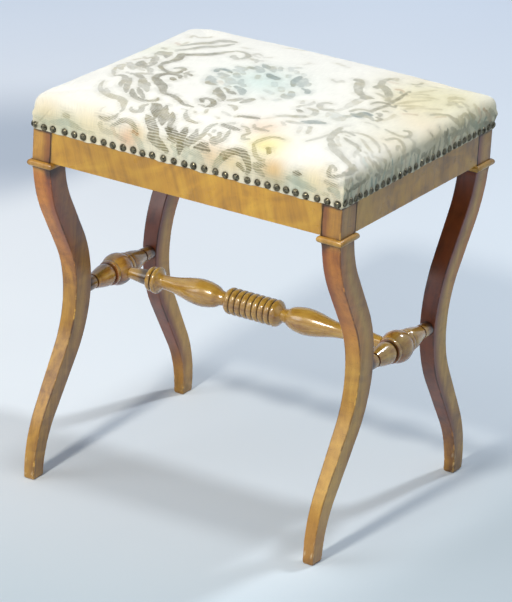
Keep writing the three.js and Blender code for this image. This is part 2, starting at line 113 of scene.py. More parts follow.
def plug(tree, made, sockets):
    for key, value in sockets.items():
        socket = made.inputs[key]
        if isinstance(value, bpy.types.NodeSocket):
            tree.links.new(value, socket)
        else:
            socket.default_value = value
    return made


def addNode(tree, kind, sockets=None, **settings):
    made = tree.nodes.new("ShaderNode" + kind)
    for key, value in settings.items():
        setattr(made, key, value)
    return plug(tree, made, sockets or {})


def maths(tree, operation, first, second=0.0, clamp=False):
    made = addNode(tree, "Math", {0: first, 1: second}, operation=operation)
    made.use_clamp = clamp
    return made.outputs[0]


def vectorMaths(tree, operation, first, second):
    made = addNode(tree, "VectorMath", {0: first, 1: second}, operation=operation)
    return made.outputs[0]


def mixColour(tree, share, first, second, blend="MIX"):
    made = addNode(tree, "Mix", data_type="RGBA", blend_type=blend)
    return plug(tree, made, {0: share, 6: first, 7: second}).outputs[2]


def rescale(tree, value, fromLow, fromHigh, toLow=0.0, toHigh=1.0, smooth=False):
    sockets = {0: value, 1: fromLow, 2: fromHigh, 3: toLow, 4: toHigh}
    made = addNode(tree, "MapRange", sockets)
    made.interpolation_type = "SMOOTHSTEP" if smooth else "LINEAR"
    return made.outputs[0]


def noise(tree, place, scale, detail=2.0, rough=0.5, distortion=0.0):
    sockets = {
        "Vector": place,
        "Scale": scale,
        "Detail": detail,
        "Roughness": rough,
        "Distortion": distortion,
    }
    return addNode(tree, "TexNoise", sockets).outputs[0]


def attribute(tree, name, output="Fac"):
    return addNode(tree, "Attribute", attribute_name=name).outputs[output]


def newGroup(name, inputs, outputs):
    group = bpy.data.node_groups.new(name, "ShaderNodeTree")
    kinds = {"v": "NodeSocketVector", "f": "NodeSocketFloat", "c": "NodeSocketColor"}
    for label, kind, value in inputs:
        made = group.interface.new_socket(
            name=label, in_out="INPUT", socket_type=kinds[kind]
        )
        if value is not None:
            made.default_value = value
    for label, kind in outputs:
        group.interface.new_socket(
            name=label, in_out="OUTPUT", socket_type=kinds[kind]
        )
    start = group.nodes.new("NodeGroupInput")
    end = group.nodes.new("NodeGroupOutput")
    return group, start.outputs, end


def placeGroup(tree, group, sockets):
    made = tree.nodes.new("ShaderNodeGroup")
    made.node_tree = group
    return plug(tree, made, sockets).outputs


# shared effects
def woodGrainGroup():
    # the grain runs along Z of the Place input, in metres
    group, given, end = newGroup(
        "wood grain",
        [
            ("Place", "v", None),
            ("Light", "c", (0.6, 0.35, 0.1, 1)),
            ("Middle", "c", (0.4, 0.2, 0.06, 1)),
            ("Dark", "c", (0.2, 0.08, 0.02, 1)),
            ("Streaks", "f", 160.0),
            ("Figure", "f", 0.3),
            ("Figure Size", "f", 30.0),
            ("Pores", "f", 0.5),
        ],
        [("Colour", "c"), ("Height", "f"), ("Pore Mask", "f")],
    )
    place = given["Place"]
    bend = noise(group, place, 9.0, 2.0)
    bent = vectorMaths(
        group,
        "ADD",
        place,
        addNode(
            group,
            "CombineXYZ",
            {
                0: maths(group, "MULTIPLY", bend, 0.02),
                1: maths(group, "MULTIPLY", bend, -0.015),
                2: 0.0,
            },
        ).outputs[0],
    )
    along = vectorMaths(group, "MULTIPLY", bent, (1.0, 1.0, 0.045))
    fine = noise(group, along, given["Streaks"], 4.0, 0.62)
    broad = noise(
        group, along, maths(group, "MULTIPLY", given["Streaks"], 0.19), 2.0, 0.5, 0.4
    )
    curlPlace = vectorMaths(group, "MULTIPLY", bent, (0.55, 0.55, 1.3))
    curl = noise(group, curlPlace, given["Figure Size"], 2.5, 0.5, 1.3)
    tone = maths(
        group,
        "ADD",
        maths(group, "MULTIPLY", fine, 0.45),
        maths(group, "MULTIPLY", broad, 0.55),
    )
    tone = rescale(group, tone, 0.32, 0.68)
    curlTone = maths(
        group, "MULTIPLY", maths(group, "SUBTRACT", curl, 0.5), given["Figure"]
    )
    tone = maths(group, "ADD", tone, maths(group, "MULTIPLY", curlTone, 4.0), True)
    lower = mixColour(
        group,
        maths(group, "MULTIPLY", tone, 2.0, True),
        given["Dark"],
        given["Middle"],
    )
    upper = mixColour(
        group,
        maths(group, "SUBTRACT", maths(group, "MULTIPLY", tone, 2.0), 1.0, True),
        lower,
        given["Light"],
    )
    porePlace = vectorMaths(group, "MULTIPLY", bent, (1.0, 1.0, 0.06))
    pores = rescale(group, noise(group, porePlace, 1500.0, 1.0), 0.62, 0.70)
    pores = maths(group, "MULTIPLY", pores, given["Pores"])
    colour = mixColour(
        group, maths(group, "MULTIPLY", pores, 0.55), upper, given["Dark"]
    )
    group.links.new(colour, end.inputs["Colour"])
    height = maths(group, "SUBTRACT", maths(group, "MULTIPLY", fine, 0.35), pores)
    group.links.new(height, end.inputs["Height"])
    group.links.new(pores, end.inputs["Pore Mask"])
    return group


def edgeWearGroup():
    group, given, end = newGroup(
        "edge wear",
        [
            ("Place", "v", None),
            ("Edge", "f", 0.0),
            ("Amount", "f", 0.4),
            ("Patch Size", "f", 60.0),
        ],
        [("Mask", "f")],
    )
    patches = noise(group, given["Place"], given["Patch Size"], 4.0, 0.65)
    reach = maths(
        group,
        "MULTIPLY",
        given["Edge"],
        maths(group, "ADD", 0.35, rescale(group, patches, 0.35, 0.65)),
    )
    start = maths(group, "SUBTRACT", 1.0, given["Amount"])
    mask = rescale(group, reach, start, maths(group, "ADD", start, 0.35), smooth=True)
    group.links.new(mask, end.inputs["Mask"])
    return group


# grime and painted shade alike: the Hollow input darkens real dirt and painted shade in recesses
def grimeAndShadeGroup():
    group, given, end = newGroup(
        "grimeAndShade",
        [("Place", "v", None), ("Hollow", "f", 0.0), ("Amount", "f", 0.6)],
        [("Mask", "f")],
    )
    cloud = noise(group, given["Place"], 45.0, 4.0, 0.6)
    spread = maths(group, "ADD", given["Hollow"], rescale(group, cloud, 0.3, 0.7, -0.2, 0.2))
    mask = rescale(group, spread, 0.15, 0.95, smooth=True)
    mask = maths(group, "MULTIPLY", mask, given["Amount"])
    group.links.new(mask, end.inputs["Mask"])
    return group


def handlingGroup():
    # shallow dents and fine scratches of an old polished surface
    group, given, end = newGroup(
        "handling marks",
        [("Place", "v", None), ("Dents", "f", 0.5), ("Scratches", "f", 0.5)],
        [("Height", "f"), ("Mask", "f")],
    )
    cells = addNode(group, "TexVoronoi", {"Vector": given["Place"], "Scale": 70.0})
    dents = rescale(group, cells.outputs["Distance"], 0.05, 0.22, smooth=True)
    dents = maths(group, "MULTIPLY", maths(group, "SUBTRACT", dents, 1.0), given["Dents"])
    lines = noise(
        group,
        vectorMaths(group, "MULTIPLY", given["Place"], (1.0, 0.9, 0.12)),
        520.0,
        1.0,
        0.5,
        0.6,
    )
    scratches = rescale(group, lines, 0.68, 0.72)
    scratches = maths(group, "MULTIPLY", scratches, given["Scratches"])
    height = maths(group, "SUBTRACT", dents, maths(group, "MULTIPLY", scratches, 0.4))
    group.links.new(height, end.inputs["Height"])
    group.links.new(scratches, end.inputs["Mask"])
    return group


def weaveGroup():
    # plain weave: Place is the cloth's own place, in metres
    group, given, end = newGroup(
        "plain weave",
        [("Place", "v", None), ("Pitch", "f", 0.001), ("Uneven", "f", 0.3)],
        [("Height", "f"), ("Over", "f"), ("Thread Tone", "f")],
    )
    wander = noise(group, given["Place"], 220.0, 2.0)
    wander = maths(group, "MULTIPLY", maths(group, "SUBTRACT", wander, 0.5), given["Uneven"])
    parts = addNode(group, "SeparateXYZ", {0: given["Place"]}).outputs
    waves = []
    for part in (0, 1):
        turn = maths(group, "DIVIDE", parts[part], given["Pitch"])
        turn = maths(group, "ADD", turn, wander)
        waves.append(
            maths(group, "SINE", maths(group, "MULTIPLY", turn, math.pi))
        )
    over = maths(
        group, "GREATER_THAN", maths(group, "MULTIPLY", waves[0], waves[1]), 0.0
    )
    ridges = [maths(group, "ABSOLUTE", wave) for wave in waves]
    height = maths(
        group,
        "ADD",
        maths(group, "MULTIPLY", ridges[0], over),
        maths(group, "MULTIPLY", ridges[1], maths(group, "SUBTRACT", 1.0, over)),
    )
    group.links.new(height, end.inputs["Height"])
    group.links.new(over, end.inputs["Over"])
    stretched = vectorMaths(group, "MULTIPLY", given["Place"], (1.0, 0.08, 1.0))
    threadTone = noise(group, stretched, 900.0, 2.0)
    group.links.new(threadTone, end.inputs["Thread Tone"])
    return group


woodGrain = woodGrainGroup()
edgeWear = edgeWearGroup()
grimeAndShade = grimeAndShadeGroup()
handling = handlingGroup()
weave = weaveGroup()
print("shared effects ready")


# materials
def newMaterial(name):
    material = bpy.data.materials.new(name)
    material.use_nodes = True
    tree = material.node_tree
    return material, tree, tree.nodes["Principled BSDF"]


woodKinds = {
    "legs": {
        "grain": "z",
        "light": (216, 166, 66),
        "middle": (194, 142, 50),
        "dark": (140, 92, 32),
        "streaks": 130.0,
        "figure": 0.2,
        "figureSize": 34.0,
        "pores": 0.6,
        "rough": 0.34,
        "coat": 0.35,
        "wear": 0.05,
        "checks": 0.5,
    },
    "veneer": {
        "grain": "veneer",
        "light": (222, 170, 50),
        "middle": (200, 144, 36),
        "dark": (152, 104, 28),
        "streaks": 110.0,
        "figure": 0.34,
        "figureSize": 26.0,
        "pores": 0.5,
        "rough": 0.3,
        "coat": 0.35,
        "wear": 0.1,
        "checks": 0.25,
    },
    "turnings along x": {
        "grain": "x",
        "light": (230, 190, 92),
        "middle": (204, 158, 66),
        "dark": (142, 92, 34),
        "streaks": 170.0,
        "figure": 0.08,
        "figureSize": 40.0,
        "pores": 0.4,
        "rough": 0.2,
        "coat": 0.9,
        "wear": 0.1,
        "checks": 0.2,
    },
    "turnings along y": {
        "grain": "y",
        "light": (234, 188, 86),
        "middle": (194, 138, 56),
        "dark": (98, 52, 28),
        "streaks": 170.0,
        "figure": 0.2,
        "figureSize": 40.0,
        "pores": 0.4,
        "rough": 0.2,
        "coat": 0.9,
        "wear": 0.1,
        "checks": 0.2,
    },
    "frame wood": {
        "grain": "rail",
        "light": (204, 172, 126),
        "middle": (186, 150, 104),
        "dark": (150, 112, 72),
        "streaks": 120.0,
        "figure": 0.05,
        "figureSize": 20.0,
        "pores": 0.8,
        "rough": 0.72,
        "coat": 0.0,
        "wear": 0.1,
        "checks": 0.0,
    },
}

# how object places turn so that the grain runs along Z
grainTurns = {
    "z": (0.06, 0.04, 0.0),
    "x": (0.0, math.pi / 2, 0.05),
    "y": (math.pi / 2, 0.0, 0.05),
    "veneer": (0.0, math.radians(18), 0.0),
    "rail": (math.radians(38), math.radians(57), 0.0),
}


def woodMaterial(name, kind):
    look = woodKinds[kind]
    material, tree, shader = newMaterial(name)
    place = addNode(tree, "TexCoord").outputs["Object"]
    turned = addNode(
        tree, "Mapping", {"Vector": place, "Rotation": grainTurns[look["grain"]]}
    ).outputs[0]
    grain = placeGroup(
        tree,
        woodGrain,
        {
            "Place": turned,
            "Light": linearColour(*look["light"]),
            "Middle": linearColour(*look["middle"]),
            "Dark": linearColour(*look["dark"]),
            "Streaks": look["streaks"],
            "Figure": look["figure"],
            "Figure Size": look["figureSize"],
            "Pores": look["pores"],
        },
    )
    marks = placeGroup(
        tree, handling, {"Place": turned, "Dents": 0.4, "Scratches": 0.4}
    )
    worn = placeGroup(
        tree,
        edgeWear,
        {"Place": place, "Edge": attribute(tree, "arris"), "Amount": look["wear"]},
    )["Mask"]
    # grime and painted shade, both from the hollow attribute, darken the wood towards near black
    dirtAndShade = placeGroup(
        tree, grimeAndShade, {"Place": place, "Hollow": attribute(tree, "hollow"), "Amount": 0.85}
    )["Mask"]
    broad = rescale(tree, noise(tree, place, 7.0, 3.0), 0.3, 0.7, 0.86, 1.1)
    colour = mixColour(
        tree,
        1.0,
        grain["Colour"],
        addNode(tree, "CombineColor", {0: broad, 1: broad, 2: broad}).outputs[0],
        "MULTIPLY",
    )
    pale = linearColour(*[min(255, int(c * 1.12) + 14) for c in look["light"]])
    colour = mixColour(tree, maths(tree, "MULTIPLY", worn, 0.75), colour, pale)
    # darker patches along the arrises, from a little above the floor upward
    edgeDarkening = rescale(tree, noise(tree, place, 26.0, 3.0), 0.42, 0.6, 0.1, 0.7)
    edgeDarkening = maths(tree, "MULTIPLY", edgeDarkening, rescale(tree, attribute(tree, "arrisDarkening"), 0.7, 1.0))
    colour = mixColour(tree, edgeDarkening, colour, linearColour(74, 42, 18))
    checks = noise(tree, vectorMaths(tree, "MULTIPLY", turned, (60.0, 60.0, 900.0)), 1.0, 2.0, 0.5)
    checks = maths(tree, "MULTIPLY", rescale(tree, checks, 0.70, 0.76), look["checks"])
    colour = mixColour(tree, checks, colour, linearColour(60, 34, 16))
    warmed = mixColour(tree, 1.0, colour, linearColour(255, 212, 186), "MULTIPLY")
    colour = mixColour(tree, attribute(tree, "warmth"), colour, warmed)
    # painted shade and stain: where the inner attribute is set, the colour is darkened to a redder brown
    inner = attribute(tree, "innerShadeAndStain")
    shadeStained = mixColour(tree, 1.0, colour, linearColour(170, 108, 106), "MULTIPLY")
    colour = mixColour(tree, inner, colour, shadeStained)
    chips = attribute(tree, "chips")
    colour = mixColour(tree, chips, colour, linearColour(236, 214, 170))
    colour = mixColour(tree, dirtAndShade, colour, linearColour(34, 20, 12))
    plug(tree, shader, {"Base Color": colour})
    rough = maths(tree, "ADD", look["rough"], maths(tree, "MULTIPLY", grain["Pore Mask"], 0.2))
    rough = maths(tree, "ADD", rough, maths(tree, "MULTIPLY", marks["Mask"], 0.15))
    rough = maths(
        tree, "ADD", rough, rescale(tree, noise(tree, place, 30.0, 3.0), 0.3, 0.7, -0.06, 0.1)
    )
    rough = maths(tree, "ADD", rough, maths(tree, "MULTIPLY", dirtAndShade, 0.3))
    height = maths(
        tree,
        "ADD",
        maths(tree, "MULTIPLY", grain["Height"], 0.25),
        maths(tree, "MULTIPLY", marks["Height"], 0.5),
    )
    bump = addNode(tree, "Bump", {"Height": height, "Strength": 0.25, "Distance": 0.0004})
    plug(tree, shader, {"Roughness": rough, "Normal": bump.outputs[0]})
    shader.inputs["Specular IOR Level"].default_value = 0.5
    shader.inputs["Coat Weight"].default_value = look["coat"]
    shader.inputs["Coat IOR"].default_value = 1.75
    shader.inputs["Coat Roughness"].default_value = look["rough"] * 0.95
    return material


def clothMaterial(name, warp, weft, pitch, uneven, dirty, attributeName="clothPlace"):
    material, tree, shader = newMaterial(name)
    place = attribute(tree, attributeName, "Vector")
    threads = placeGroup(tree, weave, {"Place": place, "Pitch": pitch, "Uneven": uneven})
    colour = mixColour(
        tree, threads["Over"], linearColour(*weft), linearColour(*warp)
    )
    shade = rescale(tree, threads["Thread Tone"], 0.3, 0.7, 0.75, 1.15)
    shade = maths(
        tree, "MULTIPLY", shade, rescale(tree, threads["Height"], 0.0, 0.9, 0.45, 1.05)
    )
    colour = mixColour(
        tree,
        1.0,
        colour,
        addNode(tree, "CombineColor", {0: shade, 1: shade, 2: shade}).outputs[0],
        "MULTIPLY",
    )
    stains = rescale(tree, noise(tree, place, 14.0, 4.0, 0.6), 0.45, 0.75)
    colour = mixColour(
        tree, maths(tree, "MULTIPLY", stains, dirty), colour, linearColour(86, 66, 40)
    )
    bump = addNode(
        tree, "Bump", {"Height": threads["Height"], "Strength": 0.8, "Distance": pitch * 0.35}
    )
    plug(tree, shader, {"Base Color": colour, "Normal": bump.outputs[0], "Roughness": 0.92})
    return material


def metalMaterial(name, bright, dark, rough):
    material, tree, shader = newMaterial(name)
    place = addNode(tree, "TexCoord").outputs["Object"]
    tarnish = rescale(tree, noise(tree, place, 380.0, 4.0, 0.6), 0.38, 0.62)
    tarnish = maths(
        tree, "ADD", tarnish, maths(tree, "MULTIPLY", attribute(tree, "hollow"), 0.8), True
    )
    colour = mixColour(tree, tarnish, linearColour(*bright), linearColour(*dark))
    plug(tree, shader, {"Base Color": colour})
    plug(
        tree,
        shader,
        {"Roughness": rescale(tree, tarnish, 0.0, 1.0, rough, rough + 0.28)},
    )
    bump = addNode(
        tree,
        "Bump",
        {"Height": noise(tree, place, 900.0, 2.0), "Strength": 0.2, "Distance": 0.0002},
    )
    plug(tree, shader, {"Normal": bump.outputs[0]})
    shader.inputs["Metallic"].default_value = 0.9
    return material


legWood = woodMaterial("leg walnut", "legs")
veneerWood = woodMaterial("figured veneer", "veneer")
turnedAlongX = woodMaterial("turned walnut long", "turnings along x")
turnedAlongY = woodMaterial("turned walnut cross", "turnings along y")
frameWood = woodMaterial("frame beech", "frame wood")
hessianCloth = clothMaterial(
    "hessian", (190, 160, 112), (172, 142, 96), 0.0016, 0.5, 0.35
)
webbingJute = clothMaterial(
    "jute webbing", (176, 146, 98), (150, 120, 78), 0.0021, 0.3, 0.4
)
nailBronze = metalMaterial("nail bronze", (140, 132, 108), (50, 46, 36), 0.24)
screwSteel = metalMaterial("screw steel", (150, 146, 138), (70, 60, 50), 0.35)
print("materials ready")


# small tools for meshes
def makePiece(name, points, faces, material, sharpAngle=35.0):
    mesh = bpy.data.meshes.new(name)
    mesh.from_pydata([tuple(p) for p in points], [], faces)
    mesh.update()
    piece = bpy.data.objects.new(name, mesh)
    scene.collection.objects.link(piece)
    finishPiece(piece, material, sharpAngle)
    return piece


def finishPiece(piece, material, sharpAngle=35.0):
    mesh = piece.data
    mesh.materials.clear()
    mesh.materials.append(material)
    mesh.polygons.foreach_set("use_smooth", [True] * len(mesh.polygons))
    mesh.set_sharp_from_angle(angle=math.radians(sharpAngle))
    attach(piece, "root")


def setValues(piece, name, values):
    layer = piece.data.attributes.new(name, "FLOAT", "POINT")
    layer.data.foreach_set("value", np.asarray(values, np.float32))


def setVectors(piece, name, values):
    layer = piece.data.attributes.new(name, "FLOAT_VECTOR", "POINT")
    layer.data.foreach_set("vector", np.asarray(values, np.float32).ravel())


def setColours(piece, name, values):
    layer = piece.data.attributes.new(name, "FLOAT_COLOR", "POINT")
    layer.data.foreach_set("color", np.asarray(values, np.float32).ravel())


def pointsOf(piece):
    place = np.zeros(len(piece.data.vertices) * 3, np.float32)
    piece.data.vertices.foreach_get("co", place)
    return place.reshape(-1, 3).astype(float)


def smoothSteps(value, low, high):
    share = np.clip((value - low) / (high - low), 0, 1)
    return share * share * (3 - 2 * share)


def splinePoints(knots, steps):
    knots = np.asarray(knots, float)
    padded = np.vstack([knots[:1], knots, knots[-1:]])
    found = []
    for i in range(len(knots) - 1):
        p0, p1, p2, p3 = padded[i : i + 4]
        for step in range(steps):
            t = step / steps
            v0, v1 = (p2 - p0) * 0.5, (p3 - p1) * 0.5
            found.append(
                (2 * p1 - 2 * p2 + v0 + v1) * t**3
                + (-3 * p1 + 3 * p2 - 2 * v0 - v1) * t**2
                + v0 * t
                + p1
            )
    found.append(knots[-1])
    return np.array(found)


# a slab with eased edges: axis lines close to the edges, pushed out to a rounded form
def slabPoints(low, high, ease, spacing):
    low, high = np.array(low, float), np.array(high, float)
    lines = []
    for axis in range(3):
        length = high[axis] - low[axis]
        edge = [0, ease * 0.35, ease * 0.7, ease]
        if length > 2 * (ease + 0.0025) + 0.001:
            edge.append(ease + 0.0025)
        inner = length - 2 * edge[-1]
        count = max(1, int(round(inner / spacing)))
        middle = [edge[-1] + inner * k / count for k in range(1, count)]
        lines.append(low[axis] + np.array(edge + middle + [length - e for e in reversed(edge)]))
    points, faces, index = [], [], {}

    def corner(place):
        key = tuple(np.round(place, 7))
        if key not in index:
            index[key] = len(points)
            points.append(place)
        return index[key]

    for axis in range(3):
        u, v = (axis + 1) % 3, (axis + 2) % 3
        for end, level in ((0, low[axis]), (1, high[axis])):
            for i in range(len(lines[u]) - 1):
                for j in range(len(lines[v]) - 1):
                    ring = []
                    for a, b in ((i, j), (i + 1, j), (i + 1, j + 1), (i, j + 1)):
                        place = np.zeros(3)
                        place[axis], place[u], place[v] = level, lines[u][a], lines[v][b]
                        ring.append(corner(place))
                    faces.append(ring if end else ring[::-1])
    points = np.array(points)
    core = np.clip(points, low + ease, high - ease)
    away = points - core
    length = np.linalg.norm(away, axis=1, keepdims=True)
    points = core + away / length * ease
    second = np.sort(np.abs(away), axis=1)[:, 1] / ease
    return points, faces, second


def makeSlab(name, low, high, ease, spacing, material, hollow=None):
    points, faces, arris = slabPoints(low, high, ease, spacing)
    piece = makePiece(name, points, faces, material)
    setValues(piece, "arris", arris)
    setValues(piece, "hollow", np.zeros(len(points)) if hollow is None else hollow(points))
    return piece


corners = {
    "front_right": (1, -1),
    "front_left": (-1, -1),
    "back_right": (1, 1),
    "back_left": (-1, 1),
}

# legs
legShape = {
    "setback": 0.0004,
    "thickness": 0.0333,
    "footThickness": 0.0225,
    "footWidth": 0.0147,
    "outerTaper": 0.0073,
    "upperBend": 0.147,
    "waistBend": 0.1457,
    "footBend": 0.1453,
    "upperStraight": 0.0608,
    "lowerStraight": 0.080,
    "footStraight": 0.0083,
    "leaveAngle": 2.5,
    "upperSweep": 31.6,
    "lowerSweep": 31.3,
    "ease": 0.0011,
    "footEase": 0.0017,
    "brownFoot": "front_right",
    "seed": 41,
}


def legCentreLine():
    steps = 16
    stations = []
    state = {
        "out": halfDepth - stoolSizes["blockDepth"] / 2 - legShape["setback"],
        "drop": 0.0,
        "lean": math.radians(legShape["leaveAngle"]),
        "run": 0.0,
    }

    def mark():
        stations.append(dict(state))

    def bend(radius, degrees):
        turn = math.radians(degrees)
        chord = 2 * radius * math.sin(abs(turn) / steps / 2)
        for _ in range(steps):
            middle = state["lean"] + turn / steps / 2
            state["out"] -= chord * math.sin(middle)
            state["drop"] += chord * math.cos(middle)
            state["run"] += chord
            state["lean"] += turn / steps
            mark()

    def straight(length, parts):
        for _ in range(parts):
            state["out"] -= length / parts * math.sin(state["lean"])
            state["drop"] += length / parts * math.cos(state["lean"])
            state["run"] += length / parts
            mark()

    mark()
    bend(legShape["upperBend"], legShape["upperSweep"] - legShape["leaveAngle"])
    straight(legShape["upperStraight"], 10)
    bend(legShape["waistBend"], -legShape["upperSweep"])
    waist = len(stations) - 1
    bend(legShape["waistBend"], -legShape["lowerSweep"])
    straight(legShape["lowerStraight"], 12)
    bend(legShape["footBend"], legShape["lowerSweep"])
    straight(legShape["footStraight"], 4)
    return stations, waist


legLine, legWaist = legCentreLine()
waistHeight = railBottom - legLine[legWaist]["drop"]
waistInner = legLine[legWaist]["out"] - legShape["thickness"] / 2


def legWidthAt(height):
    share = np.clip((stoolSizes["blockBottom"] - height) / stoolSizes["blockBottom"], 0, 1)
    outer = halfLength - legShape["outerTaper"] * share
    width = stoolSizes["blockWidth"] + (legShape["footWidth"] - stoolSizes["blockWidth"]) * share
    return outer, width


stretcherX = sum(legWidthAt(waistHeight)[0] - legWidthAt(waistHeight)[1] * k for k in (0, 1)) / 2


# one rounded rectangle as shares of the two half sizes plus insets, walked anticlockwise
def sectionCorners(ease):
    walk = []
    for quarter, (su, sv) in enumerate(((1, 1), (-1, 1), (-1, -1), (1, -1))):
        start = quarter * math.pi / 2
        for step in range(5):
            turn = start + math.pi / 2 * step / 4
            walk.append(
                (su, sv, -su * ease + ease * math.cos(turn), -sv * ease + ease * math.sin(turn), 1.0)
            )
        nextU, nextV = ((1, 1), (-1, 1), (-1, -1), (1, -1))[(quarter + 1) % 4]
        for inset, edge in ((0.0006, 0.75), (0.0032, 0.0)):
            if su != nextU:
                walk.append((su, sv, -su * (ease + inset), 0.0, edge))
            else:
                walk.append((su, sv, 0.0, -sv * (ease + inset), edge))
        walk.append(((su + nextU) / 2, (sv + nextV) / 2, 0.0, 0.0, 0.0))
        for inset, edge in ((0.0032, 0.0), (0.0006, 0.75)):
            if su != nextU:
                walk.append((nextU, nextV, -nextU * (ease + inset), 0.0, edge))
            else:
                walk.append((nextU, nextV, 0.0, -nextV * (ease + inset), edge))
    return walk


def makeLeg(corner, rng):
    signX, signY = corners[corner]
    wholeRun = legLine[-1]["run"] - legLine[legWaist]["run"]
    rings, edges = [], []

    def addRing(section, shrink=0.0):
        # section gives the place of share (u, v) with insets (du, dv)
        ring = []
        for u, v, du, dv, edge in walk:
            if shrink:
                du, dv = du - u * shrink, dv - v * shrink
            ring.append(section(u, v, du, dv))
            edges.append(edge)
        rings.append(ring)

    for station in legLine[::-1]:
        below = max(0.0, station["run"] - legLine[legWaist]["run"])
        thick = legShape["thickness"] + (legShape["footThickness"] - legShape["thickness"]) * below / wholeRun
        lean, out, drop = station["lean"], station["out"], station["drop"]
        near = max(0.0, 1 - (railBottom - drop) / 0.05)
        walk = sectionCorners(legShape["ease"] + (legShape["footEase"] - legShape["ease"]) * near)

        def section(u, v, du, dv):
            half = thick / 2 * u + du
            y = out + half * math.cos(lean)
            z = railBottom - drop - half * math.sin(lean)
            outer, width = legWidthAt(z)
            x = outer - width / 2 + (width / 2) * v + dv
            return [x, y, max(z, 0.0)]

        height = railBottom - drop
        if height > stoolSizes["blockBottom"] - 0.0022:
            break
        if height < 1e-6:
            for lift, shrink in ((0.0, 0.0021), (0.0004, 0.0011), (0.0013, 0.0004), (0.003, 0.0)):
                addRing(lambda *a: [section(*a)[0], section(*a)[1], lift], shrink)
        elif height > 0.0035:
            addRing(section)
    walk = sectionCorners(legShape["ease"])
    halfX, halfY = stoolSizes["blockWidth"] / 2, stoolSizes["blockDepth"] / 2
    middle = halfLength - halfX, halfDepth - halfY
    for level in (
        stoolSizes["blockBottom"] + 0.0002,
        0.4265,
        0.4285,
        0.436,
        0.45,
        0.462,
        0.4655,
        0.47,
        railTop - 0.001,
        railTop,
    ):
        addRing(lambda u, v, du, dv: [middle[0] + halfX * v + dv, middle[1] + halfY * u + du, level])
    count = len(walk)
    points = np.array(rings).reshape(-1, 3)
    edges = np.array(edges)
    # hand-worn arrises and foot
    near = np.clip(1 - points[:, 2] / 0.04, 0, 1)
    wobble = rng.normal(size=len(points)) * (0.00005 + 0.00022 * near) * edges
    points[:, 0] += wobble
    points[:, 1] += wobble[::-1] * 0.7
    chips = np.clip(rng.random(len(points)) * 1.9 - 0.95, 0, 1) * near**0.5 * (edges > 0.5)
    chips *= rng.random(len(points)) > 0.75
    faces = []
    for r in range(len(rings) - 1):
        for k in range(count):
            a, b = r * count + k, r * count + (k + 1) % count
            faces.append((a, b, b + count, a + count))
    faces.append(tuple(range(count))[::-1])
    faces.append(tuple(range(len(points) - count, len(points))))
    heights = points[:, 2]
    # painted shadow just under the collar and under the cover's hem, and a darker line just above the collar; the
    # block's joints are darkened and the foot dirtied
    hollow = np.exp(-np.abs(heights - 0.4172) / 0.0022) * (heights < 0.4176)
    hollow += np.exp(-np.abs(heights - 0.4272) / 0.0016) * (heights > 0.4258)
    hollow += np.exp(-np.abs(heights - 0.4655) / 0.002)
    inBlock = heights > 0.4258
    joint = np.exp(-np.abs(points[:, 0] - blockInnerX) / 0.0012)
    joint = np.maximum(joint, np.exp(-np.abs(points[:, 1] - blockInnerY) / 0.0012))
    footDirt = 0.45 * np.clip(1 - heights / 0.05, 0, 1) ** 1.5
    hollow = np.clip(hollow * 0.8 + joint * inBlock + footDirt, 0, 1)
    # painted shade: the faces turned to the middle are darkened to a redder brown under the seat, where its shade falls
    section = np.tile([u for u, v, du, dv, edge in walk], len(rings))
    across = np.tile([v for u, v, du, dv, edge in walk], len(rings))
    low, high = (0.02, 0.16) if signY < 0 else (-0.02, 0.1)
    paintedShadeAndStain = smoothSteps(-section, 0.2, 0.9) * smoothSteps(heights, low, high)
    if signY < 0:
        paintedShadeAndStain *= 0.5
    inward = smoothSteps(-across, 0.2, 0.9)
    paintedShadeAndStain = np.maximum(paintedShadeAndStain, inward * (0.06 + 0.64 * smoothSteps(heights, 0.24, 0.34)))
    # painted shadow of the collar and rail on the inner sides, just under the block
    hollow = np.maximum(hollow, 0.8 * inward * smoothSteps(heights, 0.392, 0.415) * (heights < 0.4176))
    if corner == legShape["brownFoot"]:
        paintedShadeAndStain = np.maximum(paintedShadeAndStain, 0.42 * (1 - smoothSteps(heights, 0.03, 0.09)))
    points[:, 0] *= signX
    points[:, 1] *= signY
    if signX * signY > 0:
        faces = [face[::-1] for face in faces]
    piece = makePiece("leg_wood_" + corner, points, faces, legWood)
    setValues(piece, "arris", edges)
    setValues(piece, "hollow", hollow)
    setValues(piece, "chips", chips)
    setValues(piece, "innerShadeAndStain", paintedShadeAndStain)
    setValues(piece, "arrisDarkening", edges * smoothSteps(heights, 0.0, 0.09))
    outward = smoothSteps(section, 0.2, 0.9)
    setValues(piece, "warmth", outward * smoothSteps(heights, 0.22, 0.31) * (1 - 0.8 * smoothSteps(heights, 0.405, 0.42)))
    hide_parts("leg_" + corner)
    return piece


legRandom = np.random.default_rng(legShape["seed"])
for corner in corners:
    makeLeg(corner, legRandom)
print("legs ready")

# collars
collarShape = {"height": 0.0086, "projection": 0.0044, "steps": 14}
collarBottom = railBottom - gap - collarShape["height"]


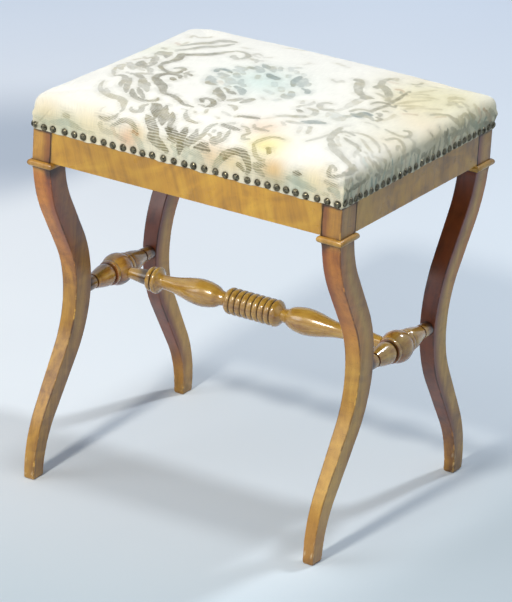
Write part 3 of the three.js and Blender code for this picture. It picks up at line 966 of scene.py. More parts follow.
def makeCollar(corner):
    signX, signY = corners[corner]
    points, faces, arris, hollow = [], [], [], []
    halfX = stoolSizes["blockWidth"] / 2 + gap
    halfY = stoolSizes["blockDepth"] / 2 + gap
    middle = Vector((halfLength - stoolSizes["blockWidth"] / 2, halfDepth - stoolSizes["blockDepth"] / 2))
    for side in range(4):
        reach, along = (halfX, halfY) if side % 2 == 0 else (halfY, halfX)
        facing = side * math.pi / 2
        profile = [(0.0, 0.0)]
        for step in range(collarShape["steps"] + 1):
            turn = math.pi * step / collarShape["steps"]
            profile.append(
                (
                    collarShape["projection"] * math.sin(turn) ** 0.9 if 0 < step < collarShape["steps"] else 0.0,
                    collarShape["height"] / 2 * (1 - math.cos(turn)),
                )
            )
        profile = profile[1:]
        stationShares = [(-1, 0.00015, 0.0004), (-1, 0.0006, 0.0), (-0.4, 0, 0), (0.4, 0, 0), (1, 0.0006, 0.0), (1, 0.00015, 0.0004)]
        start = len(points)
        for share, inset, sink in stationShares:
            for out, up in profile:
                half = along + out
                walk = share * half - math.copysign(inset, share) if abs(share) == 1 else share * half
                away = reach + max(0.0, out - sink)
                level = collarBottom + min(max(up, sink), collarShape["height"] - sink)
                points.append(
                    (
                        (middle.x + away * math.cos(facing) - walk * math.sin(facing)) * signX,
                        (middle.y + away * math.sin(facing) + walk * math.cos(facing)) * signY,
                        level,
                    )
                )
                arris.append(0.55 * math.exp(-((out - collarShape["projection"]) / 0.0012) ** 2))
                # darker at the mitred ends, and a painted shade where the bead meets the leg
                hollow.append(
                    max(0.9 if sink else 0.0, 0.85 * math.exp(-out / 0.0007))
                )
        n = len(profile)
        for row in range(len(stationShares) - 1):
            for k in range(n):
                a, b = start + row * n + k, start + row * n + (k + 1) % n
                face = (a, a + n, b + n, b)
                faces.append(face if signX * signY < 0 else face[::-1])
        first = tuple(range(start, start + n))
        last = tuple(range(start + (len(stationShares) - 1) * n, start + len(stationShares) * n))
        faces.append(first if signX * signY < 0 else first[::-1])
        faces.append(last[::-1] if signX * signY < 0 else last)
    piece = makePiece("collar_bead_" + corner, points, faces, legWood, 50)
    setValues(piece, "arris", arris)
    setValues(piece, "hollow", hollow)
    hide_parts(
        *["collar_%s_%s" % (corner, face) for face in ("outer_face", "inner_face", "outer_side", "inner_side")],
    )


for corner in corners:
    makeCollar(corner)

# rails, veneers and glue blocks
railShape = {"ease": 0.0006, "veneerEase": 0.0005, "spacing": 0.018}


def makeRails():
    thick = stoolSizes["railThickness"]
    skin = stoolSizes["veneer"]

    def jointShade(axis, reach):
        def shade(points):
            # darker at the ends by the leg blocks, and a painted shadow in a line just under the cover's hem
            ends = np.exp(-np.abs(np.abs(points[:, axis]) - reach) / 0.0013)
            hem = np.exp(-np.abs(points[:, 2] - hemHeight + 0.0005) / 0.0022) * 0.75
            return np.clip(ends + hem, 0, 1)

        return shade

    for side, sign in (("front", -1), ("back", 1)):
        reach = blockInnerX - gap
        outer = halfDepth - skin - gap
        low, high = sorted((sign * outer, sign * (outer - thick)))
        piece = makeSlab(
            "rail_wood_" + side,
            (-reach, low, railBottom + 0.0002),
            (reach, high, railTop),
            railShape["ease"],
            railShape["spacing"],
            frameWood,
        )
        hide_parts("rail_" + side)
        low, high = sorted((sign * halfDepth, sign * (halfDepth - skin)))
        piece = makeSlab(
            "veneer_face_" + side,
            (-reach, low, railBottom),
            (reach, high, railTop),
            railShape["veneerEase"],
            0.009,
            veneerWood,
            jointShade(0, reach),
        )
        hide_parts("rail_veneer_" + side)
    for side, sign in (("right", 1), ("left", -1)):
        reach = blockInnerY - gap
        outer = halfLength - skin - gap
        low, high = sorted((sign * outer, sign * (outer - thick)))
        piece = makeSlab(
            "rail_wood_" + side,
            (low, -reach, railBottom + 0.0002),
            (high, reach, railTop),
            railShape["ease"],
            railShape["spacing"],
            frameWood,
        )
        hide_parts("rail_" + side)
        low, high = sorted((sign * halfLength, sign * (halfLength - skin)))
        piece = makeSlab(
            "veneer_face_" + side,
            (low, -reach, railBottom),
            (high, reach, railTop),
            railShape["veneerEase"],
            0.009,
            veneerWood,
            jointShade(1, reach),
        )
        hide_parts("rail_veneer_" + side)


makeRails()

glueBlock = {"arm": 0.034, "inset": 0.007, "ease": 0.0008, "screwRadius": 0.0042}


def makeGlueBlocks():
    railInnerX = halfLength - stoolSizes["veneer"] - 2 * gap - stoolSizes["railThickness"]
    railInnerY = halfDepth - stoolSizes["veneer"] - 2 * gap - stoolSizes["railThickness"]
    notchX, notchY = blockInnerX - gap, blockInnerY - gap
    outline = [
        (notchX, railInnerY),
        (notchX - glueBlock["arm"], railInnerY),
        (railInnerX, notchY - glueBlock["arm"]),
        (railInnerX, notchY),
        (notchX, notchY),
    ]
    low, high = railBottom + glueBlock["inset"], railTop - glueBlock["inset"]
    for corner, (signX, signY) in corners.items():
        shape = bmesh.new()
        ring = [shape.verts.new((x * signX, y * signY, low)) for x, y in outline]
        face = shape.faces.new(ring)
        made = bmesh.ops.extrude_face_region(shape, geom=[face])
        for vertex in made["geom"]:
            if isinstance(vertex, bmesh.types.BMVert):
                vertex.co.z = high
        bmesh.ops.recalc_face_normals(shape, faces=shape.faces)
        bmesh.ops.bevel(
            shape, geom=list(shape.edges), offset=glueBlock["ease"], segments=2, profile=0.6, affect="EDGES"
        )
        mesh = bpy.data.meshes.new("glue_block_" + corner)
        shape.to_mesh(mesh)
        shape.free()
        piece = bpy.data.objects.new("glue_block_" + corner, mesh)
        scene.collection.objects.link(piece)
        finishPiece(piece, frameWood)
        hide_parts("corner_block_" + corner)
        # two slotted screws in the long slanting face
        first = Vector((outline[1][0] * signX, outline[1][1] * signY))
        second = Vector((outline[2][0] * signX, outline[2][1] * signY))
        along = (second - first).normalized()
        inward = Vector((-along.y, along.x))
        if inward.dot((first + second) / 2) > 0:
            inward = -inward
        points, faces, hollow = [], [], []
        for level in (0.3, 0.7):
            centre = (first + second) / 2
            height = low + (high - low) * level
            start = len(points)
            rows = [(1.0, 0.0), (1.0, 0.0004), (0.9, 0.0008), (0.16, 0.0009)]
            sides = 24
            for radiusShare, rise in rows:
                for k in range(sides):
                    turn = 2 * math.pi * k / sides
                    across = math.cos(turn) * glueBlock["screwRadius"] * radiusShare
                    up = math.sin(turn) * glueBlock["screwRadius"] * radiusShare
                    slot = abs(across * math.cos(0.5 + level) + up * math.sin(0.5 + level)) < 0.0005
                    out = rise - (0.0009 if slot and rise > 0 else 0.0)
                    points.append(
                        (
                            centre.x + along.x * across + inward.x * out,
                            centre.y + along.y * across + inward.y * out,
                            height + up,
                        )
                    )
                    hollow.append(1.0 if slot else 0.0)
            for row in range(len(rows) - 1):
                for k in range(sides):
                    a, b = start + row * sides + k, start + row * sides + (k + 1) % sides
                    faces.append((a, b, b + sides, a + sides))
            faces.append(tuple(range(start + 3 * sides, start + 4 * sides)))
            faces.append(tuple(range(start, start + sides))[::-1])
        screws = makePiece("block_screws_" + corner, points, faces, screwSteel, 40)
        setValues(screws, "hollow", hollow)


makeGlueBlocks()
print("seat frame ready")

# turned stretchers
turnedShape = {
    "ball": 0.0211,
    "ringOffset": 0.0175,
    "ringWidth": 0.0064,
    "ringRadius": 0.0166,
    "quirkRadius": 0.0108,
    "quirkWidth": 0.0032,
    "cupBelly": 0.0146,
    "cupEnd": 0.0096,
    "cupLength": 0.032,
    "cup": [(0, 0.84), (0.18, 1), (0.5, 0.7), (0.85, 0.2), (1, 0)],
    "endQuirkRadius": 0.0074,
    "endQuirkWidth": 0.0026,
    "discRadius": 0.0095,
    "reeds": 7,
    "reedPitch": 0.00845,
    "reedRadius": 0.0174,
    "reedDepth": 0.0026,
    "capLength": 0.0134,
    "cap": [(0, 0.76), (0.2, 1), (0.5, 0.86), (0.8, 0.4), (1, 0)],
    "neckRadius": 0.0087,
    "neckLength": 0.0065,
    "vaseRadius": 0.0174,
    "vaseEnd": 0.009,
    "vaseLength": 0.084,
    "vase": [(0, 0.1), (0.1, 0.66), (0.3, 1), (0.5, 0.83), (0.7, 0.4), (0.86, 0.1), (1, 0)],
    "flareLength": 0.0075,
    "flareRadius": 0.0144,
    "flare": [(0, 0), (0.5, 0.22), (1, 1)],
    "outerRing": (0.0062, 0.0174),
    "innerRing": (0.007, 0.016),
    "ringQuirkDepth": 0.0026,
    "ringQuirkWidth": 0.0014,
    "coneStart": 0.011,
    "coneEnd": 0.0072,
    "tenon": 0.0054,
    "darkEnd": 0.0105,
    "sides": 72,
}


def beadProfile(start, width, base, crest, steps=12):
    return [
        (start + width / 2 * (1 - math.cos(math.pi * k / steps)), base + (crest - base) * math.sin(math.pi * k / steps))
        for k in range(steps + 1)
    ]


def swellProfile(start, length, low, high, shares, steps=7):
    knots = splinePoints(shares, steps)
    return [(start + length * along, low + (high - low) * swell) for along, swell in knots]


def makeTurning(name, halfProfile, axis, middle, material):
    profile = [(-along, radius) for along, radius in reversed(halfProfile)] + list(halfProfile)
    clean = [profile[0]]
    for along, radius in profile[1:]:
        if abs(along - clean[-1][0]) + abs(radius - clean[-1][1]) > 1e-6:
            clean.append((along, radius))
    profile = np.array(clean)
    sides = turnedShape["sides"]
    turns = np.arange(sides) * 2 * math.pi / sides
    points, hollow, arris, shade = [], [], [], []
    for k, (along, radius) in enumerate(profile):
        # the groove bottoms are darkened by their depth, and the ends by the legs are made dark
        close = profile[np.abs(profile[:, 0] - along) < 0.0045][:, 1]
        before = profile[(profile[:, 0] <= along) & (profile[:, 0] > along - 0.0045), 1].max()
        after = profile[(profile[:, 0] >= along) & (profile[:, 0] < along + 0.0045), 1].max()
        depth = np.clip((min(before, after) - radius) / 0.0019, 0, 1)
        for turn in turns:
            across = radius * math.cos(turn), radius * math.sin(turn)
            if axis == "x":
                points.append((middle[0] + along, middle[1] + across[0], middle[2] + across[1]))
            else:
                points.append((middle[0] - across[0], middle[1] + along, middle[2] + across[1]))
        atEnd = axis == "y" and abs(along) > profile[-1, 0] - turnedShape["darkEnd"]
        hollow += [1.0 if atEnd else depth] * sides
        # painted shade: the sides turned from the light, the undersides of the long turning and the ends of the cross
        # turnings by the legs are darkened to a redder brown
        lean, rise = profile[min(k + 1, len(profile) - 1)] - profile[max(k - 1, 0)]
        tip = rise / math.hypot(lean, rise)
        if axis == "y":
            away = 0.75 * tip - 0.6 * np.sin(turns) * lean / math.hypot(lean, rise)
            shade += list(np.maximum(0.9 * smoothSteps(away, 0.0, 0.85), 0.8 * atEnd))
        else:
            shade += list(0.5 * smoothSteps(-np.sin(turns), 0.2, 1.0))
        crest = radius >= close.max() - 0.0002 and len(close) > 3 and close.max() - close.min() > 0.0015
        arris += [0.7 if crest else 0.0] * sides
    faces = []
    for row in range(len(profile) - 1):
        for k in range(sides):
            a, b = row * sides + k, row * sides + (k + 1) % sides
            faces.append((a, b, b + sides, a + sides))
    faces.append(tuple(range(sides))[::-1])
    faces.append(tuple(range(len(points) - sides, len(points))))
    faces = [face[::-1] for face in faces]
    piece = makePiece(name, points, faces, material, 42)
    setValues(piece, "hollow", hollow)
    setValues(piece, "arris", arris)
    setValues(piece, "innerShadeAndStain", shade)
    shape = bmesh.new()
    shape.from_mesh(piece.data)
    bmesh.ops.recalc_face_normals(shape, faces=shape.faces)
    shape.to_mesh(piece.data)
    shape.free()
    return piece


def crossProfile():
    s = turnedShape
    ringStart = s["ringOffset"] - s["ringWidth"] / 2
    ringBase = math.sqrt(s["ball"] ** 2 - ringStart**2)
    full = math.asin(ringStart / s["ball"])
    half = [(s["ball"] * math.sin(full * k / 16), s["ball"] * math.cos(full * k / 16)) for k in range(1, 17)]
    half += beadProfile(ringStart, s["ringWidth"], ringBase, s["ringRadius"])[1:]
    quirk = s["ringOffset"] + s["ringWidth"] / 2
    cup = quirk + s["quirkWidth"]
    half += [(quirk, s["quirkRadius"]), (cup, s["quirkRadius"])]
    half += swellProfile(cup, s["cupLength"], s["cupEnd"], s["cupBelly"], s["cup"])
    disc = cup + s["cupLength"] + s["endQuirkWidth"]
    end = waistInner - gap
    half += [(cup + s["cupLength"], s["endQuirkRadius"]), (disc, s["endQuirkRadius"])]
    half += [(disc, s["discRadius"] - 0.0005), (disc + 0.0005, s["discRadius"]), (end, s["discRadius"])]
    return half


def longProfile():
    s = turnedShape
    groove = s["reedRadius"] - s["reedDepth"]
    barrel = s["reeds"] * s["reedPitch"] / 2
    half = []
    for reed in range(s["reeds"]):
        bead = beadProfile(-barrel + reed * s["reedPitch"], s["reedPitch"], groove, s["reedRadius"])
        half += [point for point in bead if point[0] > 1e-5]
    at = barrel
    half += swellProfile(at, s["capLength"], s["neckRadius"], s["reedRadius"], s["cap"])[1:]
    at += s["capLength"] + s["neckLength"]
    half += swellProfile(at, s["vaseLength"], s["vaseEnd"], s["vaseRadius"], s["vase"], 8)
    at += s["vaseLength"]
    half += swellProfile(at, s["flareLength"], s["vaseEnd"], s["flareRadius"], s["flare"], 5)[1:]
    at += s["flareLength"]
    width, radius = s["outerRing"]
    half += beadProfile(at, width, radius - s["ringQuirkDepth"], radius)
    at += width + s["ringQuirkWidth"]
    width, radius = s["innerRing"]
    half += beadProfile(at, width, radius - s["ringQuirkDepth"], radius)
    at += width
    cone = stretcherX - math.sqrt(s["ball"] ** 2 - s["tenon"] ** 2) - gap
    half += [(at, s["coneStart"]), (cone, s["coneEnd"])]
    half += [(cone, s["tenon"]), (stretcherX - s["ball"] + 0.0005, s["tenon"])]
    return half


for side, sign in (("right", 1), ("left", -1)):
    piece = makeTurning(
        "cross_turning_" + side, crossProfile(), "y", (sign * stretcherX, 0, waistHeight), turnedAlongY
    )
    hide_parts("cross_stretcher_" + side)
piece = makeTurning("long_turning", longProfile(), "x", (0, 0, waistHeight), turnedAlongX)
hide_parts("long_stretcher")
print("stretchers ready")

# webbing and hessian
webShape = {
    "width": 0.050,
    "thickness": 0.0016,
    "endInset": 0.007,
    "longCount": 4,
    "crossCount": 5,
    "low": 0.48238,
    "lap": 0.0019,
}


def makeStraps():
    longPitch = 2 * (halfDepth - 0.020) / webShape["longCount"]
    crossPitch = 2 * (halfLength - 0.020) / webShape["crossCount"]
    longPlaces = [longPitch * (k - (webShape["longCount"] - 1) / 2) for k in range(webShape["longCount"])]
    crossPlaces = [crossPitch * (k - (webShape["crossCount"] - 1) / 2) for k in range(webShape["crossCount"])]
    made = []
    for kind, places, others, reach in (
        ("long", longPlaces, crossPlaces, halfLength - webShape["endInset"]),
        ("cross", crossPlaces, longPlaces, halfDepth - webShape["endInset"]),
    ):
        for number, place in enumerate(places):
            steps = int(2 * reach / 0.003)
            alongs = np.linspace(-reach, reach, steps)
            lift = np.zeros(steps)
            for other, cross in enumerate(others):
                over = (number + other) % 2 == (0 if kind == "long" else 1)
                nearCross = 1 - smoothSteps(np.abs(alongs - cross), webShape["width"] / 2, webShape["width"] / 2 + 0.014)
                lift += nearCross * (webShape["lap"] if over else 0.0)
            acrossShares = [-1, -0.97, -0.9, -0.5, 0, 0.5, 0.9, 0.97, 1]
            half = webShape["width"] / 2
            points, cloth = [], []
            for top in (0, 1):
                for along, up in zip(alongs, lift):
                    for share in acrossShares:
                        z = webShape["low"] + up
                        edge = 0.0004 if abs(share) == 1 else 0.0
                        z += (webShape["thickness"] - edge) if top else edge
                        spot = (along, place + share * half) if kind == "long" else (place + share * half, along)
                        points.append((*spot, z))
                        cloth.append((share * half, along, 0.0))
            n = len(acrossShares)
            layer = steps * n
            faces = []
            for row in range(steps - 1):
                for k in range(n - 1):
                    a = row * n + k
                    faces.append((a, a + 1, a + n + 1, a + n))
                    b = layer + a
                    faces.append((b, b + n, b + n + 1, b + 1))
                a = row * n
                faces.append((a, a + n, layer + a + n, layer + a))
                b = a + n - 1
                faces.append((b, layer + b, layer + b + n, b + n))
            for k in range(n - 1):
                faces.append((k, layer + k, layer + k + 1, k + 1))
                b = (steps - 1) * n + k
                faces.append((b, b + 1, layer + b + 1, layer + b))
            if kind == "long":
                faces = [face[::-1] for face in faces]
            name = "strap_%s_%d" % (kind, number + 1)
            piece = makePiece(name, points, faces, webbingJute)
            setVectors(piece, "clothPlace", cloth)
            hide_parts("webbing_%s_%d" % (kind, number + 1))
            made.append(piece)
    return made


straps = makeStraps()

hessianShape = {"inset": 0.005, "low": 0.48622, "thickness": 0.0009}


def makeHessian():
    halfX, halfY = halfLength - hessianShape["inset"], halfDepth - hessianShape["inset"]
    across = np.linspace(-halfX, halfX, 110)
    deep = np.linspace(-halfY, halfY, 92)
    x, y = np.meshgrid(across, deep)
    ripple = 0.00012 * np.sin(x * 210 + 3 * np.sin(y * 40)) + 0.0001 * np.sin(y * 260)
    points, cloth = [], []
    for top in (0, 1):
        z = hessianShape["low"] + 0.0001 + ripple * 0.5 + top * hessianShape["thickness"]
        points.append(np.stack([x, y, z], -1).reshape(-1, 3))
        cloth.append(np.stack([x, y, 0 * x], -1).reshape(-1, 3))
    columns, rows = len(across), len(deep)
    layer = columns * rows
    faces = []
    for r in range(rows - 1):
        for k in range(columns - 1):
            a = r * columns + k
            faces.append((a, a + columns, a + columns + 1, a + 1))
            b = a + layer
            faces.append((b, b + 1, b + columns + 1, b + columns))
    rim = [k for k in range(columns)]
    rim += [r * columns + columns - 1 for r in range(1, rows)]
    rim += [(rows - 1) * columns + k for k in range(columns - 2, -1, -1)]
    rim += [r * columns for r in range(rows - 2, 0, -1)]
    for a, b in zip(rim, rim[1:] + rim[:1]):
        faces.append((a, b, b + layer, a + layer))
    piece = makePiece("hessian_sheet", np.vstack(points), faces, hessianCloth)
    setVectors(piece, "clothPlace", np.vstack(cloth))
    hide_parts("hessian")


makeHessian()
print("webbing and hessian ready")

# the cover
coverShape = {
    "cellsX": 240,
    "cellsY": 200,
    "out": 0.0018,
    "bulge": 0.0020,
    "belly": 0.010,
    "shoulderHeight": 0.0295,
    "shoulderReach": 0.0160,
    "shoulderBox": 0.9,
    "crown": 0.003,
    "hemRound": 0.0025,
    "bellyRound": 0.005,
    # back right, back left, front left, front right
    "shoulderRound": np.array([0.008, 0.038, 0.022, 0.014]),
    # the old stuffing has settled: rises at left, middle and right, from the front to the back
    "settled": ((0.0027, 0.0020, 0.0007), (0.0027, 0.0018, 0.0), (-0.0033, 0.0038, 0.0)),
    "drawIn": 0.003,
    "padShrink": 0.003,
    "padCrown": 0.2,
    "padCap": 0.010,
    "nailDraw": 0.0009,
    # the folded cloth at one corner stands out: x, y, radius, rise
    "fold": (0.2225, 0.188, 0.016, 0.0030),
    "seed": 7,
}


def outlinePlace(side, walk, out, rounding, pull):
    # a point of a rounded rectangle: side 0 to 3 from +X by +Y, walk from -1 to 1 along it
    even = side % 2 == 0
    reach = np.where(even, halfLength, halfDepth) + out
    along = np.where(even, halfDepth, halfLength) + out
    straight = along - rounding
    run = np.abs(walk) * (straight + rounding * math.pi / 4)
    turn = np.clip((run - straight) / rounding, 0, math.pi / 2)
    onArc = run > straight
    away = np.where(
        onArc,
        reach - rounding + rounding * np.cos(turn),
        reach - pull * (1 - np.clip(run / straight, 0, 1) ** 2),
    )
    local = np.where(onArc, straight + rounding * np.sin(turn), run) * np.sign(walk)
    facing = side * math.pi / 2
    x = away * np.cos(facing) - local * np.sin(facing)
    y = away * np.sin(facing) + local * np.cos(facing)
    return x, y


def settledRise(x, y):
    # a smooth surface through the three by three rises
    spread = [np.stack([t * (t - 1) / 2, 1 - t * t, t * (t + 1) / 2]) for t in (x / halfLength, y / halfDepth)]
    return np.einsum("ji,iN,jN->N", np.array(coverShape["settled"]), *spread)


def cornerValue(values, side, walk):
    # the value of the corner that a point of the outline leads to
    values = np.broadcast_to(values, 4)
    return np.where(walk > 0, values[side], values[(side - 1) % 4])


def sideRows(inside, spacing):
    # rows of the side, from the shoulder's top down to the rail: out, height, rounding, pull
    c = coverShape
    rows = []
    rise = c["shoulderHeight"] - c["belly"] - inside
    reach = c["shoulderReach"] - inside
    top = c["out"] + c["bulge"] - c["shoulderReach"]
    count = max(4, int(round(0.030 / spacing)))
    for k in range(count + 1):
        turn = math.pi / 2 * (1 - k / count)
        over = 1 - math.cos(turn)
        rounding = c["bellyRound"] + (c["shoulderRound"] - c["bellyRound"]) * over
        away = top + reach * math.cos(turn) ** c["shoulderBox"]
        rows.append((away, c["belly"] + rise * math.sin(turn) ** c["shoulderBox"], rounding - inside, c["drawIn"]))
    count = max(2, int(round(c["belly"] / spacing)))
    for k in range(1, count + 1):
        climb = 1 - k / count
        rounding = c["hemRound"] + (c["bellyRound"] - c["hemRound"]) * climb
        swell = c["bulge"] * math.sin(math.pi / 2 * climb)
        rows.append((c["out"] - inside + swell, c["belly"] * climb, np.maximum(rounding - inside, 0.0005), c["drawIn"] * climb))
    return rows


def coverGrid(cellsX, cellsY, inside, spacing, hemRows, crownShare=1.0):
    c = coverShape
    edge = sideRows(inside, spacing)[0]
    i, j = np.meshgrid(np.arange(cellsX + 1), np.arange(cellsY + 1), indexing="ij")
    s, t = 2 * i / cellsX - 1, 2 * j / cellsY - 1
    share = np.maximum(np.abs(s), np.abs(t))
    safe = np.where(share == 0, 1, share)
    onX = np.abs(s) >= np.abs(t)
    side = np.where(onX, np.where(s > 0, 0, 2), np.where(t > 0, 1, 3))
    walk = np.where(onX, np.where(s > 0, t, -t), np.where(t > 0, -s, s)) / safe
    x, y = outlinePlace(side, walk, edge[0], cornerValue(edge[2], side, walk), edge[3])
    x, y = x * share, y * share
    halfX, halfY = halfLength + edge[0], halfDepth + edge[0]
    swell = (1 - (x / halfX) ** 2) * (1 - (y / halfY) ** 2)
    z = railTop + edge[1] + c["crown"] * crownShare * np.clip(swell, 0, 1)
    points = [np.stack([x, y, z], -1).reshape(-1, 3)]
    cloth = [np.stack([x, y], -1).reshape(-1, 2)]
    faces = []
    width = cellsY + 1
    for a in range(cellsX):
        for b in range(cellsY):
            k = a * width + b
            faces.append((k, k + width, k + width + 1, k + 1))
    # the rim, anticlockwise: along -Y, +X, +Y, -X
    rim = [(k, 0) for k in range(cellsX)] + [(cellsX, k) for k in range(cellsY)]
    rim += [(k, cellsY) for k in range(cellsX, 0, -1)] + [(0, k) for k in range(cellsY, 0, -1)]
    rimIndex = np.array([a * width + b for a, b in rim])
    rimSide = np.array([3] * cellsX + [0] * cellsY + [1] * cellsX + [2] * cellsY)
    rimWalk = np.concatenate(
        [2 * np.arange(n) / n - 1 for n in (cellsX, cellsY, cellsX, cellsY)]
    )
    count = len(rim)
    rows = sideRows(inside, spacing)[1:] + hemRows
    depth = 0.0
    last = edge
    startIndex = len(points[0])
    ringStarts = []
    facing = rimSide * math.pi / 2
    outX, outY = np.cos(facing), np.sin(facing)
    rimPlace = cloth[0][rimIndex]
    for row in rows:
        depth += math.hypot(row[0] - last[0], row[1] - last[1])
        rounding = cornerValue(row[2], rimSide, rimWalk)
        x, y = outlinePlace(rimSide, rimWalk, row[0], rounding, row[3])
        points.append(np.stack([x, y, np.full(count, railTop + row[1])], -1))
        radial = rimPlace + depth * np.stack([outX, outY], -1)
        half = np.where(rimSide % 2 == 0, halfDepth, halfLength) + row[0] - rounding * (1 - math.pi / 4)
        reach = np.where(rimSide % 2 == 0, halfLength, halfDepth) + edge[0] + depth
        band = np.stack(
            [reach * outX - rimWalk * half * outY, reach * outY + rimWalk * half * outX], -1
        )
        blend = smoothSteps(depth, 0.0, 0.02)
        cloth.append(radial * (1 - blend) + band * blend)
        ringStarts.append(startIndex)
        startIndex += count
        last = row
    previous = rimIndex
    for start in ringStarts:
        current = start + np.arange(count)
        for k in range(count):
            n = (k + 1) % count
            faces.append((previous[k], current[k], current[n], previous[n]))
        previous = current
    points = np.vstack(points)
    climb = (points[:, 2] - railTop - c["belly"]) / (c["shoulderHeight"] - c["belly"])
    points[:, 2] += settledRise(points[:, 0], points[:, 1]) * np.clip(climb, 0, 1)
    return points, faces, np.vstack(cloth), ringStarts, count, rimSide, rimWalk


def simulatePad():
    # the stuffed pad swells against its nailed edge; the shown cover is then laid on it
    c = coverShape
    bottomRows = [(c["out"] - c["padShrink"], -0.004, 0.0005, 0.0)]
    points, faces, _, ringStarts, count, _, _ = coverGrid(
        60, 50, c["padShrink"], 0.005, bottomRows, c["padCrown"]
    )
    faces.append(tuple(range(ringStarts[-1], ringStarts[-1] + count))[::-1])
    mesh = bpy.data.meshes.new("padCore")
    mesh.from_pydata(points.tolist(), [], [tuple(int(k) for k in f) for f in faces])
    pad = bpy.data.objects.new("padCore", mesh)
    scene.collection.objects.link(pad)
    remesh = pad.modifiers.new("even", "REMESH")
    remesh.mode = "VOXEL"
    remesh.voxel_size = 0.006
    deps = bpy.context.evaluated_depsgraph_get()
    even = bpy.data.meshes.new_from_object(pad.evaluated_get(deps))
    pad.modifiers.clear()
    pad.data = even
    place = np.zeros(len(even.vertices) * 3)
    even.vertices.foreach_get("co", place)
    place = place.reshape(-1, 3)
    held = pad.vertex_groups.new(name="held")
    held.add([int(k) for k in np.nonzero(place[:, 2] < railTop + 0.0015)[0]], 1.0, "REPLACE")
    cloth = pad.modifiers.new("stuffing", "CLOTH")
    settings = cloth.settings
    settings.quality = 5
    settings.mass = 0.3
    settings.tension_stiffness = 40
    settings.compression_stiffness = 40
    settings.shear_stiffness = 16
    settings.tension_damping = 5
    settings.compression_damping = 5
    settings.shear_damping = 5
    settings.bending_stiffness = 5
    settings.air_damping = 2
    settings.use_pressure = True
    settings.uniform_pressure_force = 1
    settings.effector_weights.gravity = 0
    settings.vertex_group_mass = "held"
    cloth.point_cache.frame_start = 1
    cloth.point_cache.frame_end = 20
    for step in range(1, 21):
        scene.frame_set(step)
    deps = bpy.context.evaluated_depsgraph_get()
    swollen = bpy.data.meshes.new_from_object(pad.evaluated_get(deps))
    moved = np.zeros(len(swollen.vertices) * 3)
    swollen.vertices.foreach_get("co", moved)
    moved = moved.reshape(-1, 3) - place
    length = np.linalg.norm(moved, axis=1, keepdims=True)
    print("pad swells by up to %.1f mm" % (length.max() * 1000))
    moved *= np.minimum(1, c["padCap"] / np.maximum(length, 1e-9))
    place = place + moved
    swollen.calc_loop_triangles()
    corners3 = [tuple(t.vertices) for t in swollen.loop_triangles]
    tree = BVHTree.FromPolygons([tuple(p) for p in place], corners3)
    scene.frame_set(1)
    bpy.data.objects.remove(pad)
    return tree


